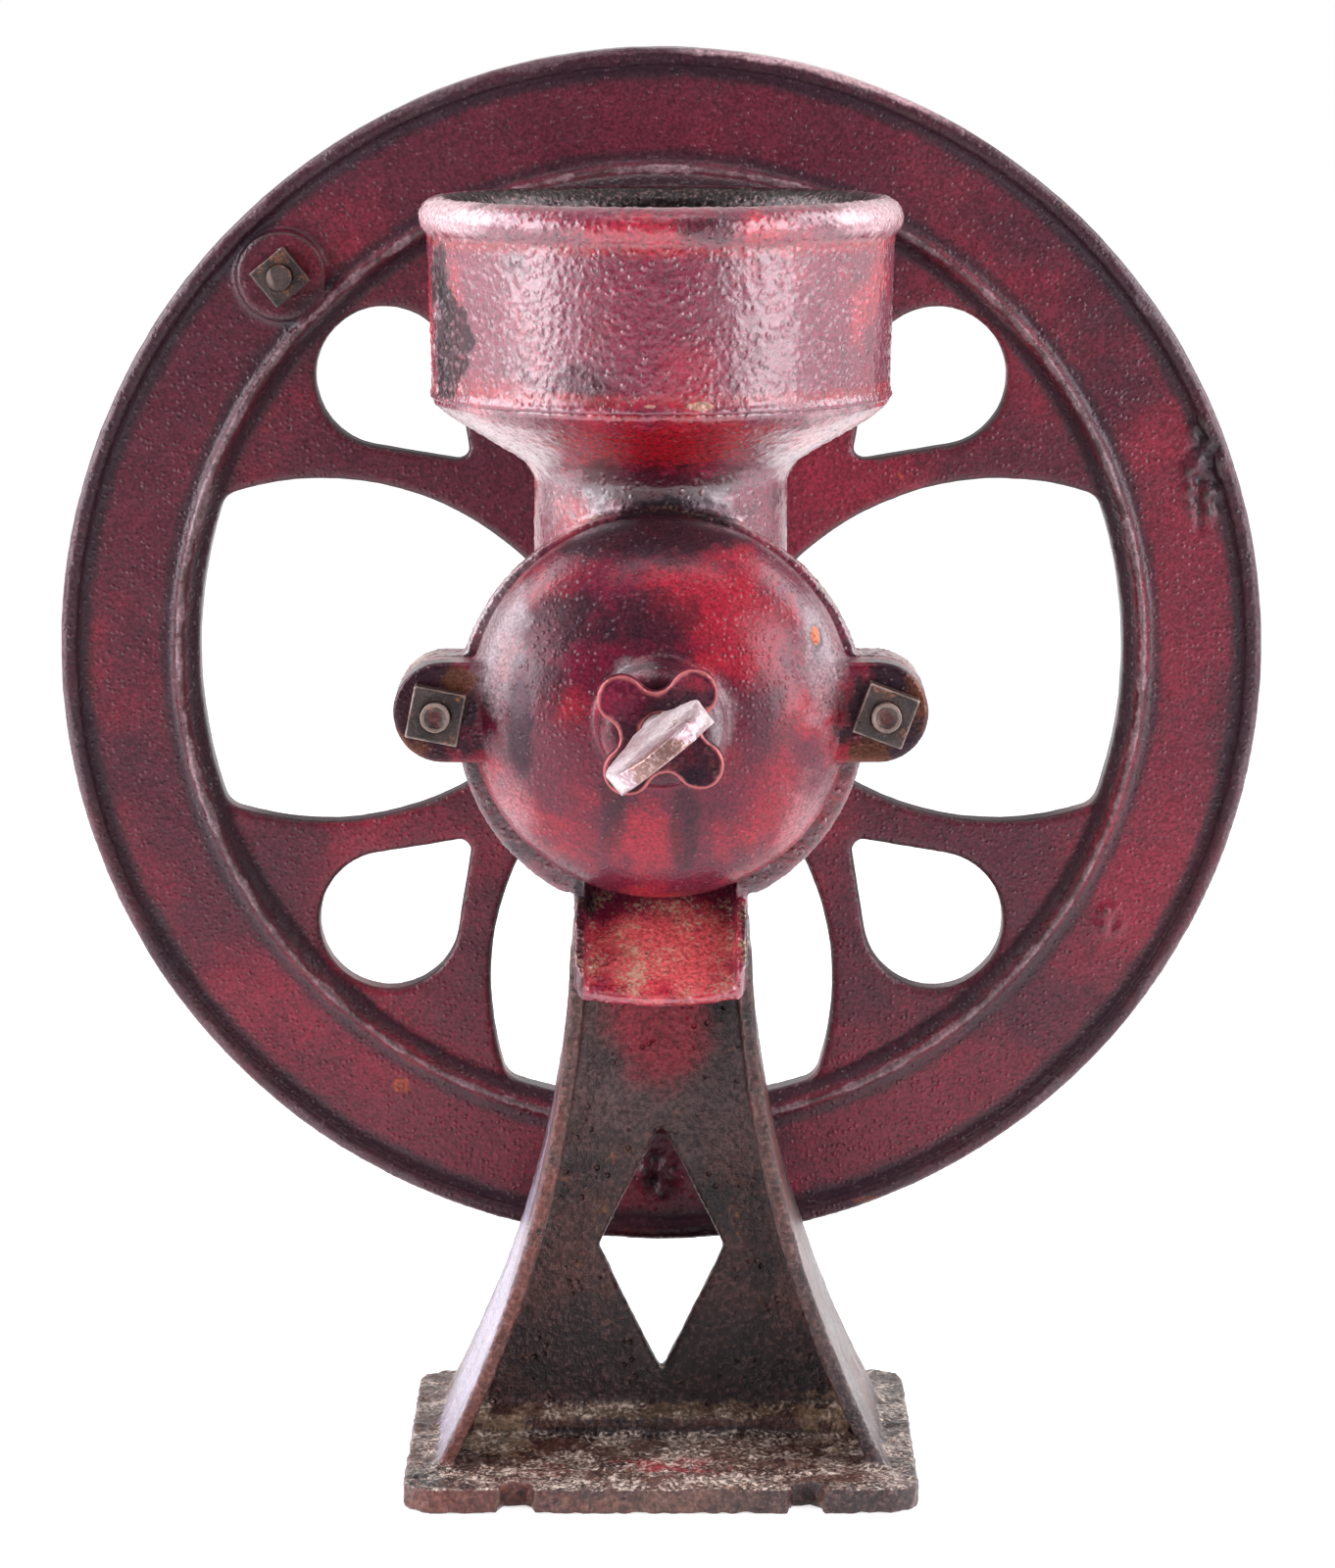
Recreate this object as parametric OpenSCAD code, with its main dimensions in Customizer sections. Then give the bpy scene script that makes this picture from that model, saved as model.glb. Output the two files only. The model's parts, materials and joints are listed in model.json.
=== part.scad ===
// Counter coffee mill: a cast body on a pedestal, with one flywheel behind it.
// Millimetres. +Z is up, +Y points away from the cover towards the flywheel,
// and the origin is the middle of the foot plate's underside.

/* [Foot plate] */
// Width of the foot plate, side to side
plate_w = 111; // [104:1:130]
// Depth of the foot plate, front to back
plate_d = 105; // [90:1:125]
// Thickness of the foot plate
plate_t = 5.5; // [4:0.5:9]
// Radius of the foot plate's corners
plate_corner_r = 8; // [4:0.5:12]
// Width of a hold-down notch
notch_w = 7; // [5:0.5:10]
// How far a hold-down notch reaches in from the plate's edge
notch_depth = 6.5; // [5.5:0.5:10]
// Distance between the two notches of one edge
notch_spacing = 62; // [40:1:70]

/* [Pedestal] */
// Height of the pad that carries the mill body
pad_z = 118; // [105:1:125]
// Thickness of that pad
pad_t = 6; // [4:0.5:9]
// Width across the side flanges at the foot plate
foot_w = 98; // [80:1:103]
// Width across the side flanges at the waist
waist_w = 39; // [34:0.5:46]
// Height of the waist, where the flanges stand upright, above the pad
waist_rise = 6; // [2:0.5:12]
// Thickness of a side flange
flange_t = 3.4; // [2.5:0.1:5]
// Front to back depth of a side flange at the foot plate
flange_foot_d = 69.6; // [55:0.2:85]
// Front to back depth of a side flange at the pad
flange_top_d = 44; // [40:0.5:50]
// Thickness of the web between the flanges
web_t = 5; // [3:0.5:8]
// Width of the diamond window in the web
window_w = 28; // [16:1:32]
// Height of the window's lower point above the foot plate
window_foot = 13.2; // [8:0.2:20]
// Height of the window below its widest place
window_low_h = 28.3; // [15:0.1:35]
// Height of the window above its widest place
window_high_h = 27.6; // [15:0.1:35]
// Radius of the bolts that hold the mill body on the pad
pad_bolt_r = 3.175; // [2.5:0.025:4]
// Width of those bolts' square heads
pad_bolt_head_w = 10; // [8:0.5:11]
// Thickness of those heads
pad_bolt_head_t = 4.5; // [3:0.5:6]
// How far those bolts reach into the mill body
pad_bolt_grip = 14; // [8:0.5:18]

/* [Mill body] */
// Height of the shaft's centre line
axis_z = 173.5; // [168:0.5:185]
// Distance of the cover joint ahead of the pedestal's middle
joint_ahead = 46; // [44:0.5:50]
// Outer radius of the grinding chamber
chamber_r = 40; // [38:0.5:44]
// Wall of the grinding chamber
chamber_wall = 3.5; // [2.5:0.1:4.5]
// Depth of the grinding chamber behind the cover joint
chamber_depth = 12; // [10:0.5:14]
// Thickness of the grinding chamber's back wall
chamber_back_t = 6; // [4:0.5:8]
// Radius of the joint flange
joint_flange_r = 43.3; // [42.5:0.1:45]
// How far the joint flange's centre lies below the shaft's
joint_flange_drop = 2; // [0:0.1:2.4]
// Thickness of the joint flange
joint_flange_t = 6; // [4:0.5:9]
// Inner radius of the barrel around the feed worm
barrel_bore_r = 20.5; // [19:0.5:22]
// Wall of the barrel
barrel_wall = 5.5; // [4:0.5:7]
// Length of the barrel's bore behind the chamber
barrel_l = 42; // [40:0.5:46]
// Thickness of the barrel's end wall
barrel_end_t = 6; // [4:0.5:9]
// Outer radius of the bearing sleeve
sleeve_r = 16; // [12:0.5:19]
// Length of the bearing sleeve behind the barrel
sleeve_l = 15.5; // [10:0.5:15.5]
// Width of the foot that stands on the pad
body_foot_w = 37.4; // [32:0.2:39]
// Front to back depth of that foot
body_foot_d = 43; // [36:0.5:44]

/* [Chute] */
// Width of the chute
chute_w = 36.4; // [30:0.2:40]
// Thickness of the chute's floor
chute_floor_t = 2.8; // [2:0.1:4]
// Thickness of the chute's side walls
chute_wall_t = 2.4; // [1.8:0.1:3.5]
// Height of the side walls above the floor
chute_wall_h = 5.5; // [3:0.5:7]
// Length of the floor along its slope
chute_l = 41.5; // [38:0.5:48]
// Fall of the floor below level, in degrees
chute_fall = 40.5; // [35:0.5:45]
// Depth of the floor's upper end below the shaft's centre line
chute_drop = 33.4; // [32:0.1:36]
// Radius of the lip's rounded corners
chute_corner_r = 6; // [3:0.5:9]
// Radius of the lip's forward bow
chute_bow_r = 70; // [45:1:120]
// Width of the gap in the joint flange above the chute
flange_gap_w = 41; // [40.5:0.5:46]

/* [Hopper and funnel] */
// Distance of the hopper's centre line behind the cover joint
hopper_behind = 28; // [27.5:0.5:31]
// Outer radius of the neck under the funnel
neck_r = 27; // [25.5:0.5:29]
// Radius of the throat inside the neck
throat_r = 22.5; // [19:0.5:24]
// Height of the neck's top above the shaft's centre line
neck_rise = 46; // [43.5:0.5:50]
// Height of the funnel from the neck to the hopper's seat
funnel_h = 17.5; // [14:0.5:24]
// Inner radius of the hopper's ledge and of the funnel's mouth
mouth_r = 37; // [33:0.5:38]
// Thickness of the hopper's ledge
ledge_t = 4; // [3:0.5:6]
// Outer radius of the hopper at its seat
hopper_r = 48.8; // [47:0.2:54]
// How much wider the hopper is under its rim than at its seat
hopper_flare = 1; // [0:0.1:3]
// Wall of the hopper
hopper_wall = 4; // [3:0.1:5]
// Height of the hopper from its seat to the top of its rim
hopper_h = 42; // [30:0.5:60]
// Radius of the rolled rim's section
rim_roll_r = 4.25; // [3:0.05:5]
// How far the rolled rim stands out from the wall
rim_roll_out = 1.7; // [0.5:0.1:2.5]
// Number of screws in the hopper's ledge
hopper_screw_count = 3; // [2:1:6]
// Radius of those screws
hopper_screw_r = 1.8; // [1.2:0.1:2.2]
// Radius of those screws' heads
hopper_screw_head_r = 3; // [2.4:0.1:3.4]
// Height of those screws' heads
hopper_screw_head_h = 2.2; // [1.5:0.1:3]
// How far those screws reach into the funnel
hopper_screw_grip = 4.5; // [3:0.1:5]

/* [Front cover] */
// Radius of the cover at its edge
cover_r = 40.4; // [39.5:0.1:42]
// Height of the straight edge ahead of the joint
cover_edge = 3; // [2:0.5:6]
// Depth of the dome ahead of that edge
dome_depth = 23; // [20:0.5:28]
// Wall of the cover
cover_wall = 4.5; // [3:0.1:5.5]
// Radius of the boss that the adjusting screw runs in
boss_r = 13; // [9:0.5:15]
// How far the boss stands out from the dome
boss_rise = 11; // [8:0.5:14]
// Radius of the boss's round shoulder
boss_round = 4.5; // [2:0.5:6]
// Radius of the oil hole in the boss
oil_hole_r = 1.3; // [0.8:0.1:1.8]
// How far the oil hole sits behind the boss's face
oil_hole_back = 4; // [2.5:0.5:6]

/* [Cover ears and bolts] */
// Distance of an ear's bolt from the edge of the cover
ear_reach = 6.4; // [4:0.2:9]
// Distance of an ear's end from its bolt
ear_end = 9.1; // [8:0.1:11]
// Radius of an ear's round end
ear_r = 10.5; // [8.5:0.5:12]
// Thickness of the ears on the cover
cover_ear_t = 12; // [8:0.5:15]
// Thickness of the ears on the body
body_ear_t = 14; // [10:0.5:17]
// Radius of the cover's bolts
cover_bolt_r = 3.175; // [2.5:0.025:4]
// Width of the square nuts and bolt heads
nut_w = 11; // [9.5:0.5:13]
// Thickness of a square nut
nut_t = 5.5; // [4:0.5:8]
// Thickness of a bolt's square head
bolt_head_t = 4.5; // [3:0.5:6]
// How far a bolt's end shows past its nut
bolt_end = 2.5; // [0.5:0.5:5]
// Clockwise turn of the left nut
left_nut_turn = 11; // [0:1:45]
// Clockwise turn of the right nut
right_nut_turn = 20.5; // [0:0.5:45]

/* [Burrs] */
// Outer radius of both burrs
burr_r = 33; // [31:0.5:34]
// Thickness of each burr
burr_t = 6; // [5:0.5:7]
// Gap between the burrs at rest
burr_gap = 1; // [0.8:0.1:1.2]
// Number of cutting grooves in each burr
groove_count = 12; // [6:1:18]
// Width of a cutting groove
groove_w = 2; // [1:0.1:3]
// Depth of a cutting groove
groove_depth = 1.5; // [0.8:0.1:2]
// Radius of the rotating burr's hub
burr_hub_r = 12; // [10:0.5:14]
// Length of the rotating burr's hub
burr_hub_l = 8; // [7:0.5:9]
// Radius of the cross pins in the burr and the worm
cross_pin_r = 2; // [1.5:0.1:2.5]
// Radius of the fixed burr's screws
burr_screw_r = 1.8; // [1.4:0.1:2.2]
// Radius of those screws' countersunk heads
burr_screw_head_r = 3.4; // [2.8:0.1:4]
// Length of those screws inside the chamber's back wall
burr_screw_grip = 4; // [2.5:0.1:5]

/* [Shaft and feed worm] */
// Radius of the shaft
shaft_r = 8; // [7.4:0.1:9]
// Radius of the shaft's front nose
nose_r = 6; // [5:0.1:6.8]
// Length of the nose ahead of the rotating burr's grinding face
nose_l = 23; // [22:0.5:24]
// Radius of the collar that the flywheel's hub sits against
collar_r = 11; // [10:0.5:14]
// Thickness of that collar
collar_t = 2.5; // [2:0.1:3]
// Radius of the shaft's threaded rear end
tail_r = 6; // [5:0.1:6.8]
// Radius of the worm's core
worm_core_r = 11.5; // [10.5:0.5:13]
// Radius of the worm's flights
worm_r = 18.5; // [16:0.5:18.5]
// Length of the worm
worm_l = 36; // [30:0.5:38]
// Turns of the worm's flights over its length
worm_turns = 1.25; // [0.75:0.25:2]
// Thickness of a flight
worm_flight_t = 6; // [4:0.5:8]
// Number of flights
worm_starts = 2; // [1:1:3]

/* [Adjusting screw and lock nut] */
// Radius of the adjusting screw
screw_r = 4; // [3:0.1:5]
// Length of the thrust button between the screw and the nose
button_l = 6.5; // [5:0.1:8]
// Length of the screw ahead of the lock nut, up to its spade
screw_neck_l = 8; // [5:0.5:12]
// Length of the spade head, front to back
spade_l = 27; // [18:0.5:30]
// Width of the spade head
spade_w = 24; // [18:0.5:30]
// Thickness of the spade head at its tip; its root is as thick as the screw
spade_t = 3.4; // [2:0.1:6]
// Turn of the spade head above level
spade_turn = 38.7; // [0:0.1:90]
// Reach of the lock nut's lobes
lobe_reach = 15.5; // [13:0.1:18]
// Radius of a lobe
lobe_r = 5; // [3.5:0.1:5.5]
// Distance of the hollows between the lobes from the centre line
hollow_reach = 8.4; // [7.5:0.1:9]
// Thickness of the lock nut
lock_nut_t = 5; // [3:0.5:7]
// Turn of the lock nut's lobes
lobe_turn = 50; // [0:1:90]

/* [Flywheel] */
// Radius of the flywheel
wheel_r = 135.5; // [133:0.5:140]
// Distance of the flywheel's middle plane behind the pedestal's middle
wheel_behind = 51; // [51:0.5:58]
// Width of the rim, front to back
rim_w = 16; // [12:0.5:22]
// Width of the lip around the rim's face
lip_w = 4; // [2:0.5:6]
// Depth of the rim's face behind its lip
face_depth = 2; // [1:0.1:3]
// Radius of the raised ridge on the rim's face
ridge_r = 108.7; // [107.5:0.1:112]
// Width of that ridge
ridge_w = 3; // [2:0.1:4]
// Inner radius of the rim
rim_bore_r = 104.4; // [100:0.2:105]
// Width of the flat land between a large opening and the rim's slope or the hub
rim_land = 0.6; // [0.3:0.1:1.5]
// Thickness of the spokes
spoke_t = 8; // [6:0.5:10]
// Radius of the hub
hub_r = 22; // [19:0.5:25]
// Length of the hub
hub_l = 34; // [28:0.5:35]
// Radius of the arcs on both sides of a large opening
lens_r = 66; // [63:0.1:68]
// Distance of those arcs' centres from the flywheel's centre
lens_out = 76.2; // [74:0.1:79]
// Distance of those arcs' centres to the side of the opening's middle line
lens_side = 27; // [25:0.1:30]
// Radius of a large opening's corners at the rim
lens_corner_r = 5; // [3:0.5:8]
// Radius of a large opening's corners at the hub
lens_tip_r = 3; // [2:0.5:4]
// Radius of a teardrop hole's round end
drop_r = 15.8; // [10:0.1:16.5]
// Radius of a teardrop hole's pointed end
drop_tip_r = 2.4; // [1.5:0.1:4]
// Distance of the round end from the flywheel's centre
drop_out = 87.6; // [82:0.1:88]
// Distance of the pointed end from the flywheel's centre
drop_in = 64.6; // [60:0.1:68]
// Width of the key between shaft and hub
key_w = 4; // [3:0.1:5]
// Length of the key
key_l = 24; // [16:0.5:26]
// Radius of the washer behind the hub
tail_washer_r = 12; // [10:0.5:16]
// Thickness of that washer
tail_washer_t = 2; // [1:0.1:3]
// Width of the square nut on the shaft's rear end
tail_nut_w = 19; // [16:0.5:22]
// Thickness of that nut
tail_nut_t = 8; // [6:0.5:10]
// How far the shaft shows past that nut
tail_end = 3; // [1:0.5:6]

/* [Crank] */
// Distance of the crank grip from the flywheel's centre
crank_r = 120; // [119:0.5:122]
// Angle of the crank grip above level, seen from the cover
crank_turn = 135; // [0:1:359]
// Radius of the boss on the rim
crank_boss_r = 10; // [8:0.5:11]
// How far that boss stands out from the rim's faces
crank_boss_rise = 1; // [0:0.1:3]
// Radius of the spindle inside the grip
spindle_r = 5; // [4:0.1:6]
// Radius of the spindle's collar behind the rim
spindle_collar_r = 9; // [7:0.5:10]
// Thickness of that collar
spindle_collar_t = 3; // [2:0.1:5]
// Radius of the spindle's thread in the rim
spindle_thread_r = 2.8; // [2.4:0.1:3.6]
// Radius of the head that keeps the grip on
spindle_head_r = 8; // [7:0.5:10]
// Height of that head
spindle_head_h = 4; // [2.5:0.1:6]
// Width of the square nut on the boss
crank_nut_w = 9.8; // [9:0.1:13]
// Thickness of that nut
crank_nut_t = 5; // [4:0.5:8]
// Clockwise turn of that nut
crank_nut_turn = 51; // [0:1:90]
// Length of the grip
grip_l = 86; // [60:1:100]
// Radius of the grip at its fullest
grip_r = 14; // [12:0.5:16]
// Radius of the grip at its ends
grip_end_r = 10.5; // [8:0.5:12]

/* [Fits] */
// Radial clearance of a turning or sliding fit
run_fit = 0.05; // [0.02:0.01:0.1]
// Radial clearance of a screwed or keyed fit
set_fit = 0.05; // [0.02:0.01:0.1]
// Radial clearance of a bolt in its hole
bolt_clear = 0.3; // [0.1:0.05:0.5]
// End clearance where one piece turns against another
end_clear = 0.1; // [0.05:0.05:0.3]
// End play of the grip on its spindle
grip_play = 0.4; // [0.2:0.1:1]

/* [Hidden] */
$fn = 96;
cut = 1;          // overshoot of a cutting solid
eye = 0.01;       // overlap of joined solids

cast_red = "firebrick";
cast_dark = "#4a3a36";
steel = "silver";
dark_steel = "dimgray";

// Pedestal
waist_z = pad_z + waist_rise;
flange_run = (foot_w - waist_w) / 2;
flange_climb = waist_z - plate_t;
flange_arc_r = (flange_run * flange_run + flange_climb * flange_climb) / (2 * flange_run);
window_bottom_z = plate_t + window_foot;
window_side_z = window_bottom_z + window_low_h;
window_top_z = window_side_z + window_high_h;
pad_bolt_x = body_foot_w / 4;
pad_bolt_y = body_foot_d / 4 + web_t / 2;

// Mill body, front to back
joint_y = -joint_ahead;
chamber_floor_y = joint_y + chamber_depth;
chamber_back_y = chamber_floor_y + chamber_back_t;
chamber_bore_r = chamber_r - chamber_wall;
barrel_r = barrel_bore_r + barrel_wall;
barrel_floor_y = chamber_floor_y + barrel_l;
barrel_back_y = barrel_floor_y + barrel_end_t;
sleeve_end_y = barrel_back_y + sleeve_l;
bearing_r = shaft_r + run_fit;

// Chute
chute_top_z = axis_z - chute_drop;
chute_inner_w = chute_w - 2 * chute_wall_t;

// Hopper and funnel
hopper_y = joint_y + hopper_behind;
neck_top_z = axis_z + neck_rise;
seat_z = neck_top_z + funnel_h;
hopper_top_z = seat_z + hopper_h;
hopper_top_r = hopper_r + hopper_flare;
roll_r = hopper_top_r + rim_roll_out - rim_roll_r;
roll_z = hopper_top_z - rim_roll_r;
ledge_top_z = seat_z + ledge_t;
hopper_screw_at = (mouth_r + hopper_r - hopper_wall) / 2;

// Front cover
dome_apex_y = joint_y - cover_edge - dome_depth;
boss_y = dome_apex_y - boss_rise;
cover_cavity_r = chamber_bore_r;
cover_cavity_depth = dome_depth + cover_edge - cover_wall;

// Ears and bolts
ear_x = cover_r + ear_reach;
ear_round_x = ear_x + ear_end - ear_r;
cover_ear_y = joint_y - cover_ear_t;
body_ear_y = joint_y + body_ear_t;
cover_bolt_tip_y = cover_ear_y - nut_t - bolt_end;

// Burrs
fixed_burr_y = chamber_floor_y - burr_t;
rotor_burr_y = fixed_burr_y - burr_gap;
rotor_burr_front_y = rotor_burr_y - burr_t;
burr_pin_y = rotor_burr_front_y - burr_hub_l / 2;
burr_screw_at = (burr_r + barrel_bore_r) / 2;
burr_screw_sink = burr_screw_head_r - burr_screw_r;

// Adjusting screw
button_back_y = rotor_burr_y - nose_l - end_clear;
button_front_y = button_back_y - button_l;
screw_tip_y = button_front_y - end_clear;
lock_nut_back_y = boss_y - end_clear;
lock_nut_front_y = lock_nut_back_y - lock_nut_t;
spade_back_y = lock_nut_front_y - screw_neck_l;
spade_front_y = spade_back_y - spade_l;
screw_bore_r = screw_r + run_fit;
lobe_at = lobe_reach - lobe_r;
// A hollow touches the lobes on both sides: this is its centre's distance
hollow_at = (lobe_at * lobe_at - pow(hollow_reach - lobe_r, 2))
            / (2 * (lobe_at * cos(45) - hollow_reach + lobe_r));
hollow_r = hollow_at - hollow_reach;

// Shaft and worm
worm_back_y = barrel_floor_y - cut;
worm_front_y = worm_back_y - worm_l;
worm_pin_y = worm_back_y - 2 * cross_pin_r;

// Flywheel
hub_front_y = wheel_behind - hub_l / 2;
hub_back_y = wheel_behind + hub_l / 2;
rim_front_y = wheel_behind - rim_w / 2;
rim_back_y = wheel_behind + rim_w / 2;
tail_nut_y = hub_back_y + tail_washer_t;
shaft_tail_y = tail_nut_y + tail_nut_t + tail_end;
key_y = wheel_behind - key_l / 2;

// Crank
crank_x = crank_r * cos(crank_turn);
crank_z = axis_z + crank_r * sin(crank_turn);
crank_front_y = rim_front_y - crank_boss_rise;
crank_back_y = rim_back_y + crank_boss_rise;
grip_front_y = crank_back_y + spindle_collar_t + grip_play / 2;
grip_back_y = grip_front_y + grip_l;
spindle_head_y = grip_back_y + grip_play / 2;

// Solid of a plane figure, drawn as seen from the cover, between two depths
module plate_between(y0, y1) {
    translate([0, y1, 0]) rotate([90, 0, 0]) linear_extrude(y1 - y0) children();
}

// Round bar on the shaft's centre line between two depths
module bar(y0, y1, r) {
    translate([0, y0, axis_z]) rotate([-90, 0, 0]) cylinder(h = y1 - y0, r = r);
}

// Solid of revolution about the shaft's centre line, from points [radius, depth]
module turned(points) {
    translate([0, 0, axis_z]) rotate([-90, 0, 0]) rotate_extrude() polygon(points);
}

// Carries its children from the origin to the crank's centre line
module at_crank() {
    translate([crank_x, 0, crank_z]) children();
}

// Round bar along Y through the origin between two depths
module rod(y0, y1, r) {
    translate([0, y0, 0]) rotate([-90, 0, 0]) cylinder(h = y1 - y0, r = r);
}

// Square block along Y through the origin between two depths, turned clockwise about Y
module square_block(y0, y1, w, turn) {
    rotate([0, turn, 0]) translate([-w / 2, y0, -w / 2]) cube([w, y1 - y0, w]);
}

// Square nut along Y with its threaded bore
module square_nut(y0, y1, w, bore_r, turn) {
    difference() {
        square_block(y0, y1, w, turn);
        rod(y0 - cut, y1 + cut, bore_r);
    }
}

// Points of an arc
function arc(c, r, a0, a1, n) =
    [for (i = [0 : n]) c + r * [cos(a0 + (a1 - a0) * i / n), sin(a0 + (a1 - a0) * i / n)]];

// Upper crossing of a circle about the origin with another circle
function crossing(r0, c, r1) =
    let (d = norm(c), a = (d * d + r0 * r0 - r1 * r1) / (2 * d), h = sqrt(r0 * r0 - a * a))
    [(c.x * a - c.y * h) / d, (c.y * a + c.x * h) / d];

function angle_of(v) = atan2(v.y, v.x);

// Foot plate with round corners and four open notches
module foot_plate() {
    inner_w = plate_w - 2 * plate_corner_r;
    inner_d = plate_d - 2 * plate_corner_r;
    difference() {
        union() {
            translate([-plate_w / 2, -inner_d / 2, 0]) cube([plate_w, inner_d, plate_t]);
            translate([-inner_w / 2, -plate_d / 2, 0]) cube([inner_w, plate_d, plate_t]);
            for (sx = [-1, 1], sy = [-1, 1])
                translate([sx * inner_w / 2, sy * inner_d / 2, 0]) cylinder(h = plate_t, r = plate_corner_r);
        }
        for (sx = [-1, 1], sy = [-1, 1]) notch(sx * notch_spacing / 2, sy);
    }
}

// Hold-down notch: a slot with a round end, open at the plate's edge
module notch(x, side) {
    round_y = plate_d / 2 - notch_depth + notch_w / 2;
    translate([x, side * round_y, -cut]) cylinder(h = plate_t + 2 * cut, r = notch_w / 2);
    translate([x - notch_w / 2, side > 0 ? round_y : -plate_d / 2 - cut, -cut])
        cube([notch_w, plate_d / 2 - round_y + cut, plate_t + 2 * cut]);
}

// Space outside both flange arcs, so that what is left narrows to the waist
module flange_outsides(inset) {
    for (sx = [-1, 1])
        translate([sx * (waist_w / 2 + flange_arc_r), 0, waist_z])
            rotate([90, 0, 0])
                cylinder(h = 2 * plate_d, r = flange_arc_r + inset, center = true, $fn = 180);
}

// Side view of the flanges: deep at the foot, narrower at the pad
module flange_depths() {
    rotate([90, 0, 90])
        linear_extrude(foot_w + 2 * cut, center = true)
            polygon([[-flange_foot_d / 2, plate_t - eye], [flange_foot_d / 2, plate_t - eye],
                     [flange_top_d / 2, pad_z], [-flange_top_d / 2, pad_z]]);
}

// Block between the two flange arcs, with its sides moved in by the inset
module waisted_block(inset) {
    difference() {
        intersection() {
            flange_depths();
            translate([-foot_w / 2, -plate_d, 0]) cube([foot_w, 2 * plate_d, pad_z]);
        }
        flange_outsides(inset);
    }
}

module pedestal() {
    color(cast_dark)
    difference() {
        union() {
            foot_plate();
            difference() {
                waisted_block(0);
                difference() {
                    waisted_block(flange_t);
                    translate([-foot_w / 2, -web_t / 2, 0]) cube([foot_w, web_t, pad_z]);
                    translate([-foot_w / 2, -plate_d, pad_z - pad_t])
                        cube([foot_w, 2 * plate_d, pad_t + cut]);
                }
            }
        }
        plate_between(-web_t, web_t)
            polygon([[0, window_bottom_z], [window_w / 2, window_side_z],
                     [0, window_top_z], [-window_w / 2, window_side_z]]);
        for (sx = [-1, 1])
            translate([sx * pad_bolt_x, pad_bolt_y, pad_z - pad_t - cut])
                cylinder(h = pad_t + 2 * cut, r = pad_bolt_r + bolt_clear);
    }
}

module pedestal_bolts() {
    head_z = pad_z - pad_t - pad_bolt_head_t;
    color(dark_steel)
    for (sx = [-1, 1])
        translate([sx * pad_bolt_x, pad_bolt_y, head_z]) {
            translate([-pad_bolt_head_w / 2, -pad_bolt_head_w / 2, 0])
                cube([pad_bolt_head_w, pad_bolt_head_w, pad_bolt_head_t]);
            cylinder(h = pad_bolt_head_t + pad_t + pad_bolt_grip, r = pad_bolt_r);
        }
}

// Outline of both ears, without the round body between them
module ear_outline() {
    for (sx = [-1, 1]) {
        translate([sx * ear_round_x, axis_z]) circle(r = ear_r);
        translate([sx > 0 ? 0 : -ear_round_x, axis_z - ear_r]) square([ear_round_x, 2 * ear_r]);
    }
}

// Holes for the cover's bolts between two depths
module ear_holes(y0, y1) {
    for (sx = [-1, 1])
        translate([sx * ear_x, 0, axis_z]) rod(y0 - cut, y1 + cut, cover_bolt_r + bolt_clear);
}

// Plan of the chute's floor, from its upper end at the origin down to its lip
module chute_plan(w) {
    corner_w = w - 2 * chute_corner_r;
    intersection() {
        union() {
            translate([-w / 2, 0]) square([w, chute_l - chute_corner_r]);
            translate([-corner_w / 2, 0]) square([corner_w, chute_l]);
            for (sx = [-1, 1])
                translate([sx * corner_w / 2, chute_l - chute_corner_r]) circle(r = chute_corner_r);
        }
        translate([0, chute_l - chute_bow_r]) circle(r = chute_bow_r, $fn = 180);
    }
}

// Carries its children, drawn flat, onto the slope of the chute's floor
module on_chute() {
    translate([0, chamber_back_y, chute_top_z]) rotate([chute_fall, 0, 0]) mirror([0, 1, 0]) children();
}

module chute() {
    on_chute()
    difference() {
        translate([0, 0, -chute_floor_t]) linear_extrude(chute_floor_t + chute_wall_h) chute_plan(chute_w);
        translate([-chute_inner_w / 2, -cut, 0]) cube([chute_inner_w, chute_l + 2 * cut, chute_wall_h + cut]);
    }
}

// Space under the cover that the ground coffee falls through
module chute_space() {
    on_chute()
        translate([-chute_inner_w / 2, 0, 0])
            cube([chute_inner_w, chute_l + cut, chute_drop]);
}

// Outside of the funnel and the neck, about the hopper's centre line
module funnel_outside() {
    translate([0, hopper_y, 0])
        rotate_extrude()
            polygon([[0, axis_z], [neck_r, axis_z], [neck_r, neck_top_z],
                     [neck_r + funnel_h / 8, neck_top_z + funnel_h / 5],
                     [hopper_r - funnel_h / 5, seat_z - funnel_h / 4],
                     [hopper_r, seat_z - funnel_h / 12], [hopper_r, seat_z], [0, seat_z]]);
}

// Way of the beans from the hopper's seat to the worm
module throat() {
    translate([0, hopper_y, neck_top_z]) cylinder(h = funnel_h, r1 = throat_r, r2 = mouth_r);
    translate([0, hopper_y, seat_z - eye]) cylinder(h = cut, r = mouth_r);
    intersection() {
        translate([0, hopper_y, axis_z]) cylinder(h = neck_rise + eye, r = throat_r);
        translate([-throat_r, chamber_back_y, axis_z]) cube([2 * throat_r, 3 * throat_r, neck_rise + cut]);
    }
}

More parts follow.
